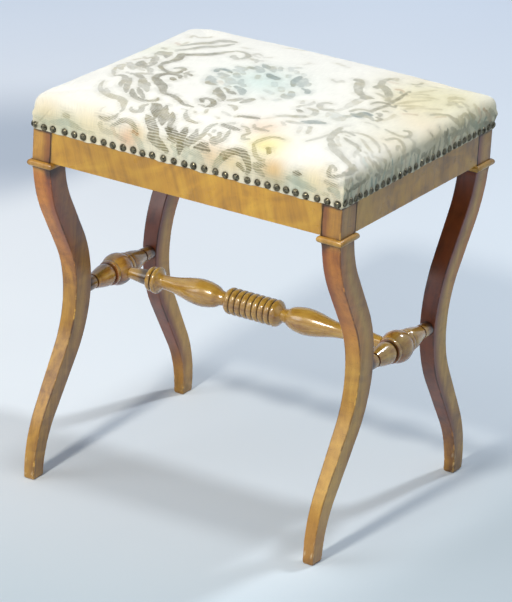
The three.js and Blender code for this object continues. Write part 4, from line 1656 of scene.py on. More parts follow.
# the woven pattern, in millimetres on the cloth: dye and whether it is ribbed, then the strokes,
# each with its depth of colour in hundredths and x, y and width at every point along it
damaskStrokes = [
    ("brown", False, [
        (90, -76, -199, 3.5, -72, -200, 6, -68, -200, 3.5),
        (35, -104, -201, 6, -100, -208, 6),
        (35, 217, -155, 6, 217, -170, 6),
        (25, -52, -30, 9, -42, -36, 8),
        (40, -187, 86, 6, -176, 76, 6),
        (70, 130, 94, 6, 135, 96, 6, 141, 93, 3.5),
        (30, 109, 116, 10.5, 116, 117, 9),
        (35, 175, 33, 4.5, 180, 40, 4.5, 186, 46, 4.5),
        (45, 204, 63, 4.5, 211, 74, 4.5),
        (35, 238, -40, 4.5, 232, -42, 4.5),
        (60, 224, 143, 3.5, 235, 146, 6, 242, 141, 6),
        (70, 228, 155, 4.5, 239, 166, 6, 250, 173, 6),
        (45, 225, 143, 6, 237, 145, 7),
        (50, 235, 160, 6, 246, 172, 8),
    ]),
    ("green", False, [
        (43, -73, -203, 6.5, -66, -209, 9, -62, -216, 9),
        (40, -19, -204, 5.5, -12, -209, 7.5, -14, -214, 6.5),
        (36, 2, -203, 9, 0, -212, 9),
        (40, -192, -213, 5.5, -180, -211, 9, -170, -208, 11, -160, -210, 9, -150, -213, 5.5),
        (29, -216, -212, 5.5, -206, -214, 6.5, -196, -215, 5.5),
        (25, -146, -215, 5.5, -132, -214, 5.5),
        (43, 8, -206, 6.5, 16, -206, 10, 24, -210, 6.5),
        (29, 12, -214, 6.5, 26, -216, 5.5),
        (58, 43, -217, 7.5, 47, -209, 10, 53, -201, 10),
        (43, 211, -120, 5.5, 220, -126, 9, 231, -124, 7.5),
        (47, 144, -206, 5.5, 154, -206, 12, 166, -209, 11, 182, -213, 6.5),
        (50, 203, -206, 6.5, 210, -206, 10, 214, -213, 7.5),
        (25, 114, -214, 4.5, 130, -215, 5.5, 146, -215, 5.5),
        (25, 184, -215, 5.5, 200, -214, 5.5),
        (68, 226, 121, 4.5, 236, 122, 6.5, 245, 137, 9, 254, 150, 7.5),
        (65, 236, 125, 7.5, 247, 140, 10, 255, 161, 7.5),
        (29, 218, -196, 6.5, 235, -181, 5.5),
    ]),
    ("grey", False, [
        (65, -127, -91, 6, -120, -99, 11, -111, -105, 11, -105, -112, 7, -101, -117, 3.5),
        (60, -168, -111, 3, -165, -123, 5.5, -157, -135, 7, -149, -143, 9.5, -140, -148, 9.5, -128, -150, 11, -117, -150, 9.5, -109, -155, 8.5, -104, -164, 6, -99, -176, 3.5),
        (50, -153, -129, 3.5, -148, -136, 7, -142, -142, 7),
        (30, -123, -174, 3.5, -124, -184, 3.5),
        (75, -107, -199, 3, -100, -195, 5, -92, -189, 7, -84, -188, 8.5, -76, -192, 7, -70, -197, 5),
        (35, -122, -200, 7, -116, -207, 8.5, -104, -206, 7),
        (40, -96, -209, 7, -86, -213, 6),
        (35, -38, -137, 3.5, -32, -136, 3.5),
        (50, -174, -199, 5, -170, -200, 8.5, -166, -200, 3.5),
        (55, 25, -163, 6, 26, -167, 5),
        (50, 23, -173, 5, 26, -176, 5),
        (50, 31, -142, 5, 37, -138, 6),
        (70, 97, -200, 5, 105, -200, 6, 111, -198, 3.5),
        (35, 101, -196, 3, 110, -195, 3),
        (50, 71, -92, 6, 78, -84, 9.5, 86, -80, 8.5, 96, -74, 8.5),
        (60, 4, -97, 5, 11, -96, 7, 16, -101, 7, 19, -107, 3.5),
        (40, 9, -119, 5, 16, -121, 6, 23, -124, 3.5),
        (35, 29, -123, 5, 34, -122, 3.5),
        (25, 8, -134, 5, 14, -136, 5),
        (50, 89, -99, 7, 98, -97, 8.5, 106, -93, 6),
        (40, 84, -104, 5, 91, -111, 6),
        (50, 119, -97, 6, 123, -106, 7, 126, -115, 5),
        (30, 111, -104, 5, 113, -112, 6, 117, -122, 5),
        (60, 164, -125, 7, 174, -135, 11, 187, -143, 11, 199, -149, 9.5, 209, -154, 9.5, 215, -148, 8.5),
        (80, 213, -147, 7, 218, -158, 9.5, 219, -169, 9.5, 215, -180, 8.5, 208, -188, 6, 200, -191, 5, 194, -186, 5, 191, -180, 6, 196, -174, 5, 199, -181, 5),
        (50, 151, -96, 5, 147, -112, 5, 142, -125, 5, 137, -136, 3.5),
        (40, 189, -98, 5, 195, -110, 6, 198, -124, 6, 202, -133, 3.5),
        (25, 160, -100, 5, 166, -112, 5, 176, -122, 5),
        (90, -121, -22, 5, -118, -18, 6, -112, -17, 8.5, -107, -23, 6),
        (60, -153, -38, 6, -144, -43, 9.5, -137, -53, 3.5),
        (40, -164, -66, 5, -158, -70, 5),
        (45, -165, 52, 6, -162, 46, 5),
        (60, -92, 70, 7, -88, 63, 11, -81, 58, 9.5),
        (75, -102, 92, 5, -92, 91, 6, -83, 87, 7, -76, 79, 8.5, -74, 70, 7, -76, 62, 5),
        (50, -68, 70, 6, -62, 72, 7, -57, 68, 7, -54, 60, 3.5),
        (30, -73, 86, 6, -64, 84, 6),
        (65, 80, 90, 8.5, 86, 77, 12, 92, 64, 12, 99, 53, 11),
        (80, 118, 40, 14.5, 117, 30, 9.5),
        (35, 117, 28, 11, 117, 14, 12, 117, 0, 11, 119, -12, 7),
        (30, 119, -12, 7, 115, -24, 7),
        (60, 109, -29, 8.5, 100, -34, 8.5, 92, -29, 8.5, 88, -20, 8.5, 90, -12, 6, 97, -9, 3.5),
        (45, 72, -48, 6, 73, -41, 6, 77, -34, 6, 79, -24, 7, 77, -17, 3.5),
        (40, 66, -25, 5, 69, -32, 7),
        (60, 85, -43, 6, 94, -44, 8.5, 100, -52, 8.5, 102, -62, 7),
        (75, 98, -70, 7, 90, -77, 9.5, 82, -83, 7),
        (30, 111, -42, 5, 116, -53, 5),
        (30, 104, 140, 8.5, 108, 128, 8.5),
        (65, 148, -72, 6, 150, -88, 8.5, 153, -102, 9.5, 157, -116, 7),
        (40, -75, 90, 6, -74, 98, 6, -65, 94, 5),
        (40, -62, 67, 6, -52, 73, 6),
        (30, -59, 89, 5, -53, 96, 5),
        (25, -103, 111, 6, -94, 112, 6),
        (25, -6, 97, 5, -4, 110, 5),
        (20, 19, 140, 7, 37, 134, 7),
        (80, 108, 81, 9.5, 111, 91, 12, 122, 82, 12, 133, 69, 11, 142, 49, 7),
        (70, 108, 93, 9.5, 101, 110, 9.5, 100, 127, 7, 104, 136, 6),
        (60, 121, 62, 6, 130, 60, 7, 138, 56, 6),
        (70, 129, -18, 5, 131, -6, 6, 139, 1, 5, 147, 3, 5),
        (40, 53, 67, 5, 62, 63, 6, 64, 72, 6, 68, 68, 5),
        (80, 75, 86, 6, 77, 91, 11, 88, 78, 11, 96, 57, 11, 108, 44, 11, 118, 40, 7, 126, 43, 3.5),
        (55, 120, 39, 8.5, 116, 29, 8.5, 115, 17, 8.5, 119, -3, 7),
        (35, 119, -3, 7, 117, -22, 6, 109, -33, 5),
        (60, 131, 133, 5, 136, 133, 6, 134, 152, 5),
        (50, 141, 125, 5, 143, 130, 5),
        (30, 159, -33, 5, 168, -29, 5, 176, -32, 5),
        (30, 148, -67, 5, 152, -59, 5),
        (55, 185, -27, 5, 195, -27, 6, 204, -25, 5),
        (70, 200, -8, 5, 204, -4, 6, 210, -8, 7, 212, -18, 7, 203, -27, 5),
        (65, 199, -51, 5, 203, -38, 6, 211, -35, 6, 224, -38, 7, 229, -45, 5),
        (50, 223, -55, 5, 219, -49, 6, 220, -45, 5),
        (45, 204, -64, 5, 218, -70, 6, 228, -75, 5),
        (65, 150, -102, 5, 152, -91, 6, 158, -79, 6, 170, -79, 5),
        (50, 163, -74, 5, 179, -65, 6, 195, -70, 6, 214, -86, 3.5),
        (40, 164, -88, 3.5, 169, -88, 3.5),
        (35, 197, -118, 5, 213, -128, 6, 225, -133, 3.5),
        (35, 218, -100, 5, 232, -101, 5),
        (60, 158, -116, 8.5, 177, -132, 9.5, 193, -147, 9.5, 209, -155, 8.5, 220, -151, 6),
        (30, 168, -123, 5, 183, -132, 5),
        (50, 217, -17, 5, 227, -16, 7, 235, -25, 7),
        (35, 209, 127, 6, 219, 121, 6),
    ]),
    ("mustard", False, [
        (95, 106, -172, 8, 108, -180, 7),
        (30, 58, -112, 3.5, 66, -104, 4.5, 71, -94, 6),
        (35, 102, -62, 7, 98, -70, 7),
        (50, -185, 116, 4.5, -188, 128, 6, -179, 130, 6, -175, 149, 6),
        (45, -173, 79, 6, -174, 91, 6),
        (40, -187, 57, 6, -180, 50, 4.5),
        (60, -192, -22, 4.5, -184, -24, 6, -173, -39, 6, -162, -40, 7, -162, -27, 7, -174, -20, 6),
        (60, -193, -37, 4.5, -190, -32, 6, -182, -48, 6, -190, -50, 4.5, -183, -64, 6),
        (50, -191, -6, 4.5, -184, 1, 4.5),
        (30, -68, 158, 4.5, -48, 169, 4.5),
        (45, 152, 45, 4.5, 157, 56, 4.5, 161, 70, 4.5, 169, 84, 3.5),
        (40, 149, 83, 4.5, 156, 99, 4.5, 166, 109, 4.5),
        (35, 160, 48, 4.5, 169, 60, 6, 180, 74, 4.5),
        (30, 157, 86, 6, 168, 99, 7, 181, 109, 4.5),
        (50, 189, 122, 6, 193, 133, 7, 199, 139, 6),
        (30, 146, 145, 6, 158, 145, 6),
        (35, 170, 20, 6, 171, 7, 6, 168, -9, 4.5),
        (35, 210, -117, 4.5, 225, -124, 4.5),
        (70, 237, -139, 4.5, 238, -130, 4.5, 234, -134, 4.5),
        (50, 233, -88, 4.5, 240, -92, 4.5, 244, -98, 3.5),
        (50, 237, 8, 4.5, 242, 24, 6, 246, 31, 4.5),
        (50, 221, 96, 4.5, 233, 97, 6),
        (40, 215, -101, 4.5, 222, -98, 6),
        (30, 236, 7, 6, 232, 30, 7),
        (60, 234, 93, 4.5, 232, 104, 6, 224, 101, 6, 222, 113, 4.5),
        (50, 187, 124, 4.5, 192, 135, 7, 201, 139, 4.5),
        (40, 192, 117, 4.5, 203, 129, 6),
        (35, 158, 56, 4.5, 166, 76, 4.5, 176, 98, 4.5),
        (30, 147, 93, 4.5, 156, 110, 6, 164, 133, 4.5),
        (30, 167, 42, 4.5, 177, 62, 4.5, 197, 89, 3.5),
        (35, 217, 138, 6, 230, 140, 6),
        (45, 227, -160, 4.5, 229, -145, 6),
    ]),
    ("olive", False, [
        (95, -113, -74, 10, -106, -82, 13.5, -97, -89, 13.5, -90, -98, 11, -84, -107, 8.5, -78, -111, 6, -68, -111, 7.5, -58, -116, 7.5, -50, -121, 6, -44, -125, 6, -36, -126, 5, -29, -126, 3),
        (100, -28, -107, 6, -32, -100, 7.5, -28, -94, 7.5, -20, -96, 7.5, -14, -103, 8.5, -12, -111, 7.5, -15, -117, 3.5),
        (60, -27, -117, 3.5, -21, -116, 5, -16, -119, 3.5),
        (50, -10, -124, 5, -8, -131, 5),
        (40, -21, -135, 5, -18, -137, 3.5),
        (75, -169, -86, 3.5, -161, -81, 7.5, -153, -86, 8.5, -148, -96, 7.5, -145, -107, 7.5, -141, -115, 3.5),
        (80, -146, -86, 5, -140, -97, 7.5, -135, -109, 8.5, -129, -120, 8.5, -121, -133, 3.5),
        (85, -140, -70, 5, -132, -79, 7.5, -126, -89, 11, -117, -94, 11, -110, -97, 3.5),
        (80, -118, -110, 3, -111, -119, 7.5, -102, -128, 7.5, -93, -136, 3),
        (95, -121, -119, 3.5, -114, -130, 8.5, -105, -138, 8.5, -93, -141, 6, -83, -138, 5, -77, -132, 6, -79, -127, 3.5),
        (60, -116, -154, 6, -108, -160, 6, -104, -166, 5),
        (75, -100, -181, 3.5, -102, -186, 5, -108, -190, 5, -116, -193, 5, -125, -192, 3.5),
        (65, -81, -148, 5, -84, -155, 7.5, -80, -162, 7.5, -85, -167, 7.5, -92, -166, 6, -95, -161, 3),
        (100, -77, -143, 3, -71, -143, 10, -66, -150, 16, -61, -158, 12, -57, -166, 6, -54, -172, 3),
        (95, -58, -139, 3.5, -56, -148, 10, -51, -158, 14.5, -45, -167, 13.5, -41, -175, 7.5, -39, -181, 3),
        (85, -43, -150, 3.5, -38, -158, 8.5, -33, -168, 8.5, -29, -178, 7.5, -26, -187, 6, -24, -192, 3.5),
        (60, -23, -175, 3.5, -21, -182, 5),
        (80, -25, -196, 5, -16, -197, 7.5),
        (85, 27, -147, 6, 36, -148, 8.5, 46, -149, 7.5, 51, -149, 3.5),
        (85, 20, -193, 5, 29, -192, 5),
        (80, 74, -205, 5, 78, -207, 7.5, 83, -211, 5),
        (90, 31, -121, 3, 36, -118, 6, 46, -115, 7.5, 58, -112, 3.5),
        (70, 60, -129, 3.5, 65, -136, 6, 74, -137, 6, 84, -136, 3.5),
        (45, 79, -122, 5, 74, -131, 5),
        (95, 151, -198, 3, 157, -197, 6, 162, -198, 3),
        (55, 196, -198, 5, 206, -200, 6, 213, -200, 5),
        (75, -105, 89, 6, -112, 80, 8.5, -114, 68, 10),
        (95, -114, 68, 10, -117, 54, 11, -127, 46, 11, -138, 40, 10, -149, 35, 8.5),
        (95, -147, 37, 10, -144, 26, 11, -140, 16, 12, -141, 4, 10, -144, -7, 10, -144, -17, 6, -140, -26, 7.5, -131, -34, 6, -121, -39, 7.5, -112, -39, 7.5, -107, -33, 7.5, -109, -26, 3.5),
        (100, -103, -57, 6, -99, -61, 10),
        (100, -95, -52, 5, -99, -46, 7.5, -107, -44, 7.5, -115, -46, 8.5, -121, -53, 10, -122, -62, 10, -119, -70, 10, -113, -77, 11),
        (85, -99, -24, 3.5, -98, -33, 7.5, -92, -33, 7.5, -88, -36, 3.5),
        (60, -97, -34, 6, -93, -42, 5, -89, -47, 2.5),
        (75, -173, 14, 3.5, -169, 4, 6, -163, -6, 7.5, -156, -14, 8.5, -154, -22, 6, -154, -32, 6),
        (70, -179, 36, 10, -171, 30, 16, -163, 26, 11),
        (85, -164, 25, 7.5, -160, 21, 8.5, -157, 15, 3.5),
        (60, -166, 38, 5, -162, 34, 6),
        (50, -178, 24, 5, -173, 14, 5),
        (90, -176, -13, 6, -171, -23, 14.5, -164, -31, 14.5, -156, -37, 10),
        (50, -189, -20, 6, -181, -31, 11, -172, -42, 11, -165, -50, 7.5),
        (45, -195, -38, 5, -186, -47, 8.5, -177, -58, 6),
        (35, -160, -44, 7.5, -150, -50, 6),
        (50, -187, -62, 3.5, -179, -72, 6, -172, -82, 3.5),
        (80, -156, -68, 3.5, -148, -69, 8.5, -139, -74, 8.5, -131, -80, 7.5, -123, -86, 5),
        (50, -190, 58, 6, -183, 52, 6),
        (30, -186, 8, 5, -180, 2, 5),
        (85, -61, -38, 10, -56, -44, 12, -50, -44, 6),
        (90, -24, -54, 5, -18, -56, 10, -12, -57, 5),
        (80, -33, -47, 5, -27, -50, 6),
        (90, -39, -51, 3.5, -36, -58, 8.5, -30, -66, 12, -22, -73, 12, -14, -81, 7.5, -10, -89, 3.5),
        (80, -36, -62, 7.5, -31, -74, 6),
        (70, 3, -68, 7.5, 0, -78, 10, -6, -84, 5),
        (50, -18, -86, 5, -12, -92, 6),
        (80, 15, -60, 8.5, 13, -70, 10, 11, -80, 5),
        (35, 26, -52, 5, 20, -46, 5),
        (85, 78, -56, 6, 82, -59, 8.5),
        (70, -172, 74, 5, -165, 83, 7.5, -158, 97, 10, -155, 117, 10, -152, 133, 11, -138, 131, 11, -126, 130, 6),
        (70, -165, 51, 5, -155, 59, 7.5, -148, 72, 10, -143, 89, 10, -138, 105, 10, -128, 114, 10, -124, 121, 6),
        (80, -179, 26, 6, -178, 36, 7.5, -166, 28, 8.5, -159, 27, 6),
        (60, -177, 0, 5, -171, 12, 6, -160, -3, 6, -161, -16, 6, -152, -24, 5),
        (70, -175, -22, 7.5, -167, -23, 7.5, -157, -35, 7.5, -164, -44, 7.5),
        (50, -150, -41, 6, -141, -44, 6, -139, -53, 6),
        (60, -153, -70, 7.5, -144, -63, 8.5, -132, -58, 6),
        (90, 149, 42, 6, 140, 39, 6, 135, 32, 5, 134, 23, 3.5),
        (90, 148, 47, 6, 148, 64, 6, 146, 84, 5, 145, 100, 3.5),
        (70, 140, 86, 5, 137, 95, 3.5),
        (85, 150, 39, 6, 148, 27, 6, 146, 9, 6, 146, 2, 5),
        (85, 153, 39, 5, 157, 40, 6, 157, 46, 3.5),
        (80, 155, 4, 5, 158, 6, 6, 160, -1, 5),
        (80, 160, -7, 5, 166, -6, 6, 165, -16, 5),
        (60, 156, 17, 5, 159, 20, 5),
        (50, 170, 43, 5, 173, 42, 5),
        (60, 197, 63, 5, 202, 73, 6, 210, 80, 6, 221, 83, 7.5, 228, 91, 8.5, 233, 94, 5),
        (50, 195, 114, 6, 198, 120, 6, 208, 114, 5),
        (95, 241, -175, 6, 240, -168, 7.5, 240, -154, 7.5, 239, -140, 6),
        (60, 229, -161, 5, 235, -149, 5),
        (75, 239, -114, 5, 244, -104, 6, 248, -104, 5),
        (40, 241, -77, 5, 239, -67, 5, 240, -56, 5),
        (50, 236, -43, 5, 235, -35, 5),
        (85, 249, 1, 5, 247, 3, 7.5, 248, 9, 6, 254, 17, 5),
        (90, 231, 64, 5, 237, 60, 7.5, 242, 57, 6),
        (70, 239, 70, 5, 241, 86, 7.5, 244, 104, 6),
        (70, 229, 107, 5, 237, 105, 6, 244, 109, 5),
        (80, 247, 157, 6, 253, 170, 8.5, 253, 177, 6),
        (50, 226, -182, 5, 232, -179, 5),
        (50, 220, -124, 5, 231, -126, 7.5),
        (55, 222, -110, 5, 231, -109, 7.5, 240, -97, 6),
        (40, 223, -96, 5, 230, -88, 7.5),
        (35, 226, -47, 6, 237, -45, 6),
        (45, 231, -22, 6, 240, -7, 7.5),
        (25, 241, 12, 10, 237, 32, 11, 230, 49, 8.5),
        (80, 233, 57, 6, 241, 59, 7.5, 250, 67, 6),
        (60, 231, 73, 5, 239, 84, 7.5, 243, 76, 6),
        (60, 223, 111, 6, 231, 119, 7.5, 238, 115, 6),
        (70, 225, 122, 6, 232, 130, 7.5),
        (50, 232, 168, 6, 241, 177, 6),
        (60, 241, 85, 6, 243, 96, 7.5, 243, 113, 6),
        (45, 196, 107, 5, 199, 116, 7.5, 209, 117, 5),
        (40, 241, -62, 6, 246, -50, 7.5),
        (50, 245, -88, 6, 245, -76, 7.5),
        (50, 228, -180, 6, 229, -170, 6),
    ]),
    ("slate", False, [
        (92, 105, -88, 8, 111, -84, 12, 118, -78, 11, 125, -75, 7),
        (97, -74, 0, 8, -76, 5, 7, -73, 11, 7, -66, 12, 8, -58, 8, 5.5),
        (65, -69, -22, 8, -63, -31, 15, -57, -38, 16),
        (54, -60, 31, 12, -53, 30, 12),
        (43, -58, 19, 9.5, -50, 20, 9.5),
        (81, -49, 40, 9.5, -44, 40, 9.5),
        (86, -42, 61, 5.5, -36, 56, 11, -29, 52, 8),
        (65, -44, 48, 7, -38, 44, 11, -32, 36, 12),
        (59, -28, 60, 7, -24, 52, 11, -19, 45, 5.5),
        (54, -20, 65, 7, -15, 55, 8),
        (43, -10, 73, 8, -4, 63, 8),
        (38, 2, 66, 7, 8, 58, 7),
        (97, -19, 33, 5.5, -12, 28, 12, -3, 25, 12),
        (65, -64, -5, 11, -56, -6, 9.5),
        (54, -50, 8, 9.5, -44, 0, 11),
        (49, -50, 22, 7, -44, 14, 8),
        (43, -46, -14, 13.5, -38, -24, 16),
        (38, -60, -14, 9.5, -52, -16, 11),
        (54, -33, -6, 5.5, -30, -14, 8, -26, -22, 8),
        (54, -22, -20, 5.5, -19, -26, 8),
        (38, -25, 20, 8, -22, 10, 7),
        (76, -25, -34, 7, -15, -38, 11, -9, -45, 11, -5, -53, 5.5),
        (38, -40, -34, 9.5, -32, -40, 8),
        (86, 17, 50, 7, 19, 40, 11, 21, 28, 9.5, 28, 14, 5.5),
        (65, 26, 46, 8, 30, 36, 13.5, 32, 25, 12, 37, 20, 7),
        (54, 38, 34, 9.5, 41, 28, 7),
        (86, 43, 14, 5.5, 50, 12, 8, 54, 5, 8),
        (65, 38, -6, 8, 43, -15, 11, 45, -25, 11, 39, -27, 8, 35, -19, 5.5),
        (32, 15, 62, 8, 18, 56, 7),
        (43, 3, 46, 8, 6, 39, 7),
        (32, 4, 10, 9.5, 10, 0, 9.5),
        (32, 20, 0, 9.5, 26, -10, 9.5),
        (32, 12, -22, 9.5, 22, -26, 8),
        (32, 40, -38, 7, 38, -46, 5.5),
        (27, 118, -40, 16, 130, -48, 19),
        (32, -7, 74, 8, -2, 81, 8),
        (100, 137, -25, 9.5, 143, -22, 12, 145, -10, 12, 151, -8, 8),
        (54, 131, -40, 8, 136, -32, 8),
        (65, 150, -17, 7, 155, -15, 8, 161, -19, 5.5),
    ]),
    ("grey", True, [
        (65, 19, -149, 5, 15, -158, 7, 16, -168, 7, 17, -176, 7, 14, -185, 8.5, 9, -192, 8.5),
        (60, 50, -140, 5, 57, -141, 5, 62, -146, 6, 66, -151, 5, 63, -158, 6, 67, -164, 6, 74, -162, 3.5),
        (70, 34, -165, 6, 37, -173, 7, 32, -181, 9.5, 37, -187, 9.5, 43, -179, 7, 45, -169, 6, 42, -157, 5),
        (60, 98, -203, 6, 104, -207, 9.5, 110, -211, 7),
        (60, 168, -97, 5, 179, -101, 8.5, 187, -102, 9.5, 196, -110, 5),
        (35, 182, -80, 5, 199, -93, 6, 216, -104, 5),
        (30, 203, -107, 6, 221, -114, 6, 227, -117, 5),
    ]),
    ("mustard", True, [
        (65, 114, -146, 3, 104, -145, 4.5, 96, -147, 4.5, 90, -153, 7, 86, -161, 7, 85, -171, 4.5, 88, -180, 6, 94, -188, 6, 102, -193, 4.5, 110, -193, 3),
    ]),
    ("olive", True, [
        (80, -69, -167, 3.5, -63, -171, 8.5, -57, -177, 13.5, -52, -185, 14.5, -46, -192, 12, -42, -198, 7.5),
        (80, -50, -199, 10, -42, -203, 14.5, -34, -207, 11, -26, -212, 7.5),
        (95, -29, -184, 10, -21, -189, 14.5, -16, -191, 8.5),
        (60, -31, -137, 2.5, -26, -147, 6, -19, -154, 7.5, -10, -157, 6, -3, -157, 3.5),
        (90, -9, -173, 6, -7, -182, 10, -8, -193, 11, -8, -204, 10, -10, -212, 6),
        (75, 5, -170, 3.5, 7, -178, 7.5, 7, -186, 10, 4, -193, 11, 0, -200, 7.5),
        (90, 12, -199, 3.5, 20, -197, 7.5, 33, -198, 5),
        (85, 53, -201, 11, 61, -194, 10, 70, -190, 11, 80, -192, 10, 87, -198, 10, 90, -206, 8.5, 88, -213, 6),
    ]),
]

dyes = {
    "olive": (96, 90, 54),
    "grey": (110, 108, 78),
    "slate": (92, 114, 114),
    "green": (118, 146, 132),
    "mustard": (142, 128, 62),
    "brown": (168, 122, 66),
}
# beyond these lines lie the sides that the pattern above leaves out: they repeat the opposite ones
damaskRepeat = {"axis": -12.0, "left": -229.0, "back": 206.0, "fade": 8.0, "rib": 3.4, "fineRib": 2.3, "dashes": 11.5, "seed": 31}


def nearNails():
    # short dashes of the pattern that run down to the nails of the right side
    rng = np.random.default_rng(damaskRepeat["seed"])
    found = {"olive": [], "green": [], "brown": [], "mustard": []}
    for place in np.arange(-210, 200, damaskRepeat["dashes"]):
        v = place + rng.normal() * 3.5
        top = 222 + 22 * rng.random() ** 0.8
        width = 2.5 + rng.random() * 4.0
        dye = rng.choice(["olive", "olive", "mustard", "green", "brown", "mustard"])
        lean, bend = rng.normal(size=2) * (5, 3)
        depth = 50 + 45 * rng.random()
        found[dye].append((depth, 257, v, width, (257 + top) / 2, v + bend, width, top, v + lean, width * 0.5))
    return [(dye, False, strokes) for dye, strokes in found.items()]


def strokeField(x, y, ribbed):
    # how far each point lies outside the nearest stroke in millimetres, with that stroke's dye and depth
    starts, ends, dyeOf, depthOf = [], [], [], []
    for dye, isRibbed, strokes in damaskStrokes + nearNails():
        if isRibbed != ribbed:
            continue
        for depth, *numbers in strokes:
            knots = [tuple(numbers[k : k + 3]) for k in range(0, len(numbers), 3)]
            line = splinePoints(knots, 3 if len(knots) > 2 else 1)
            starts.append(line[:-1])
            ends.append(line[1:])
            dyeOf += [linearColour(*dyes[dye])] * (len(line) - 1)
            depthOf += [depth / 100] * (len(line) - 1)
    starts, ends = np.vstack(starts).astype(np.float32), np.vstack(ends).astype(np.float32)
    dyeOf, depthOf = np.array(dyeOf), np.array(depthOf)
    ax, ay, aw = (starts[None, :, k] for k in range(3))
    dx, dy, dw = (ends[None, :, k] - starts[None, :, k] for k in range(3))
    found = np.full(len(x), 30.0, np.float32)
    nearest = np.zeros(len(x), int)
    for first in range(0, len(x), 4000):
        px = x[first : first + 4000, None].astype(np.float32)
        py = y[first : first + 4000, None].astype(np.float32)
        share = np.clip(((px - ax) * dx + (py - ay) * dy) / (dx * dx + dy * dy + 1e-6), 0, 1)
        away = np.hypot(px - ax - share * dx, py - ay - share * dy) - (aw + dw * share) / 2
        nearest[first : first + 4000] = away.argmin(axis=1)
        found[first : first + 4000] = away.min(axis=1)
    return found, dyeOf[nearest], depthOf[nearest]


# tints of the old cloth: x, y and radius in millimetres, strength, colour
groundTints = [
    (100, -166, 26, 0.8, (250, 234, 150)),
    (76, -128, 24, 0.5, (250, 214, 176)),
    (36, -204, 18, 0.5, (246, 206, 150)),
    (124, -203, 16, 0.8, (240, 192, 112)),
    (180, -202, 24, 0.6, (250, 228, 172)),
    (66, -205, 16, 0.5, (246, 216, 150)),
    (-82, -209, 13, 0.7, (250, 200, 160)),
    (-68, -198, 12, 0.4, (240, 206, 130)),
    (-200, -205, 26, 0.6, (248, 224, 170)),
    (-140, -203, 30, 0.5, (250, 230, 176)),
    (-190, 50, 34, 0.3, (236, 240, 206)),
    (164, 74, 34, 0.5, (240, 220, 168)),
    (205, 30, 34, 0.45, (250, 220, 184)),
    (178, 110, 44, 0.4, (238, 230, 180)),
    (130, 176, 50, 0.35, (244, 226, 188)),
    (208, -52, 26, 0.35, (248, 226, 184)),
    (-10, 5, 52, 0.7, (212, 233, 226)),
    (120, -52, 30, 0.3, (224, 230, 220)),
    (196, 60, 60, 0.45, (238, 230, 190)),
    (200, -20, 50, 0.35, (240, 234, 200)),
    (150, 120, 60, 0.4, (236, 229, 192)),
    (200, 140, 50, 0.5, (228, 220, 176)),
    (180, -95, 40, 0.3, (236, 234, 214)),
    (158, -214, 17, 0.5, (184, 208, 196)),
    (-172, -218, 22, 0.45, (196, 212, 190)),
    (-205, -220, 14, 0.4, (196, 210, 190)),
    (125, -216, 14, 0.35, (200, 210, 190)),
    (10, -216, 16, 0.35, (204, 212, 190)),
]


def drawDamask(cloth):
    # distances to the plain and the ribbed strokes, and the colours of ground and pattern
    d = damaskRepeat
    u, v = cloth[:, 0] * 1000, cloth[:, 1] * 1000
    ground = np.tile(np.array(linearColour(252, 250, 241)), (len(u), 1))
    frontBand = smoothSteps(-v, 186, 206) * 0.7
    rightBand = smoothSteps(u, 212, 238) * 0.8
    for band, colour in ((frontBand, (248, 236, 200)), (rightBand, (244, 234, 194))):
        ground += (np.array(linearColour(*colour)) - ground) * band[:, None]
    for x, y, radius, strength, colour in groundTints:
        weight = strength * np.exp(-((u - x) ** 2 + (v - y) ** 2) / radius**2)
        ground += (np.array(linearColour(*colour)) - ground) * weight[:, None]
    fade = smoothSteps(np.abs(u - d["left"]), 0, d["fade"]) * smoothSteps(np.abs(v - d["back"]), 0, d["fade"])
    beyondLeft, beyondBack = u < d["left"], v > d["back"]
    x = np.where(beyondLeft | beyondBack, 2 * d["axis"] - u, u)
    y = np.where(beyondBack, -v, v)
    plain, plainDye, plainDepth = strokeField(x, y, False)
    ribbed, ribbedDye, ribbedDepth = strokeField(x, y, True)
    nearer = (plain < ribbed)[:, None]
    dye = np.where(nearer, plainDye, ribbedDye)
    depth = np.where(nearer[:, 0], plainDepth, ribbedDepth) * fade
    return plain, ribbed, ground, ground + (dye - ground) * depth[:, None]


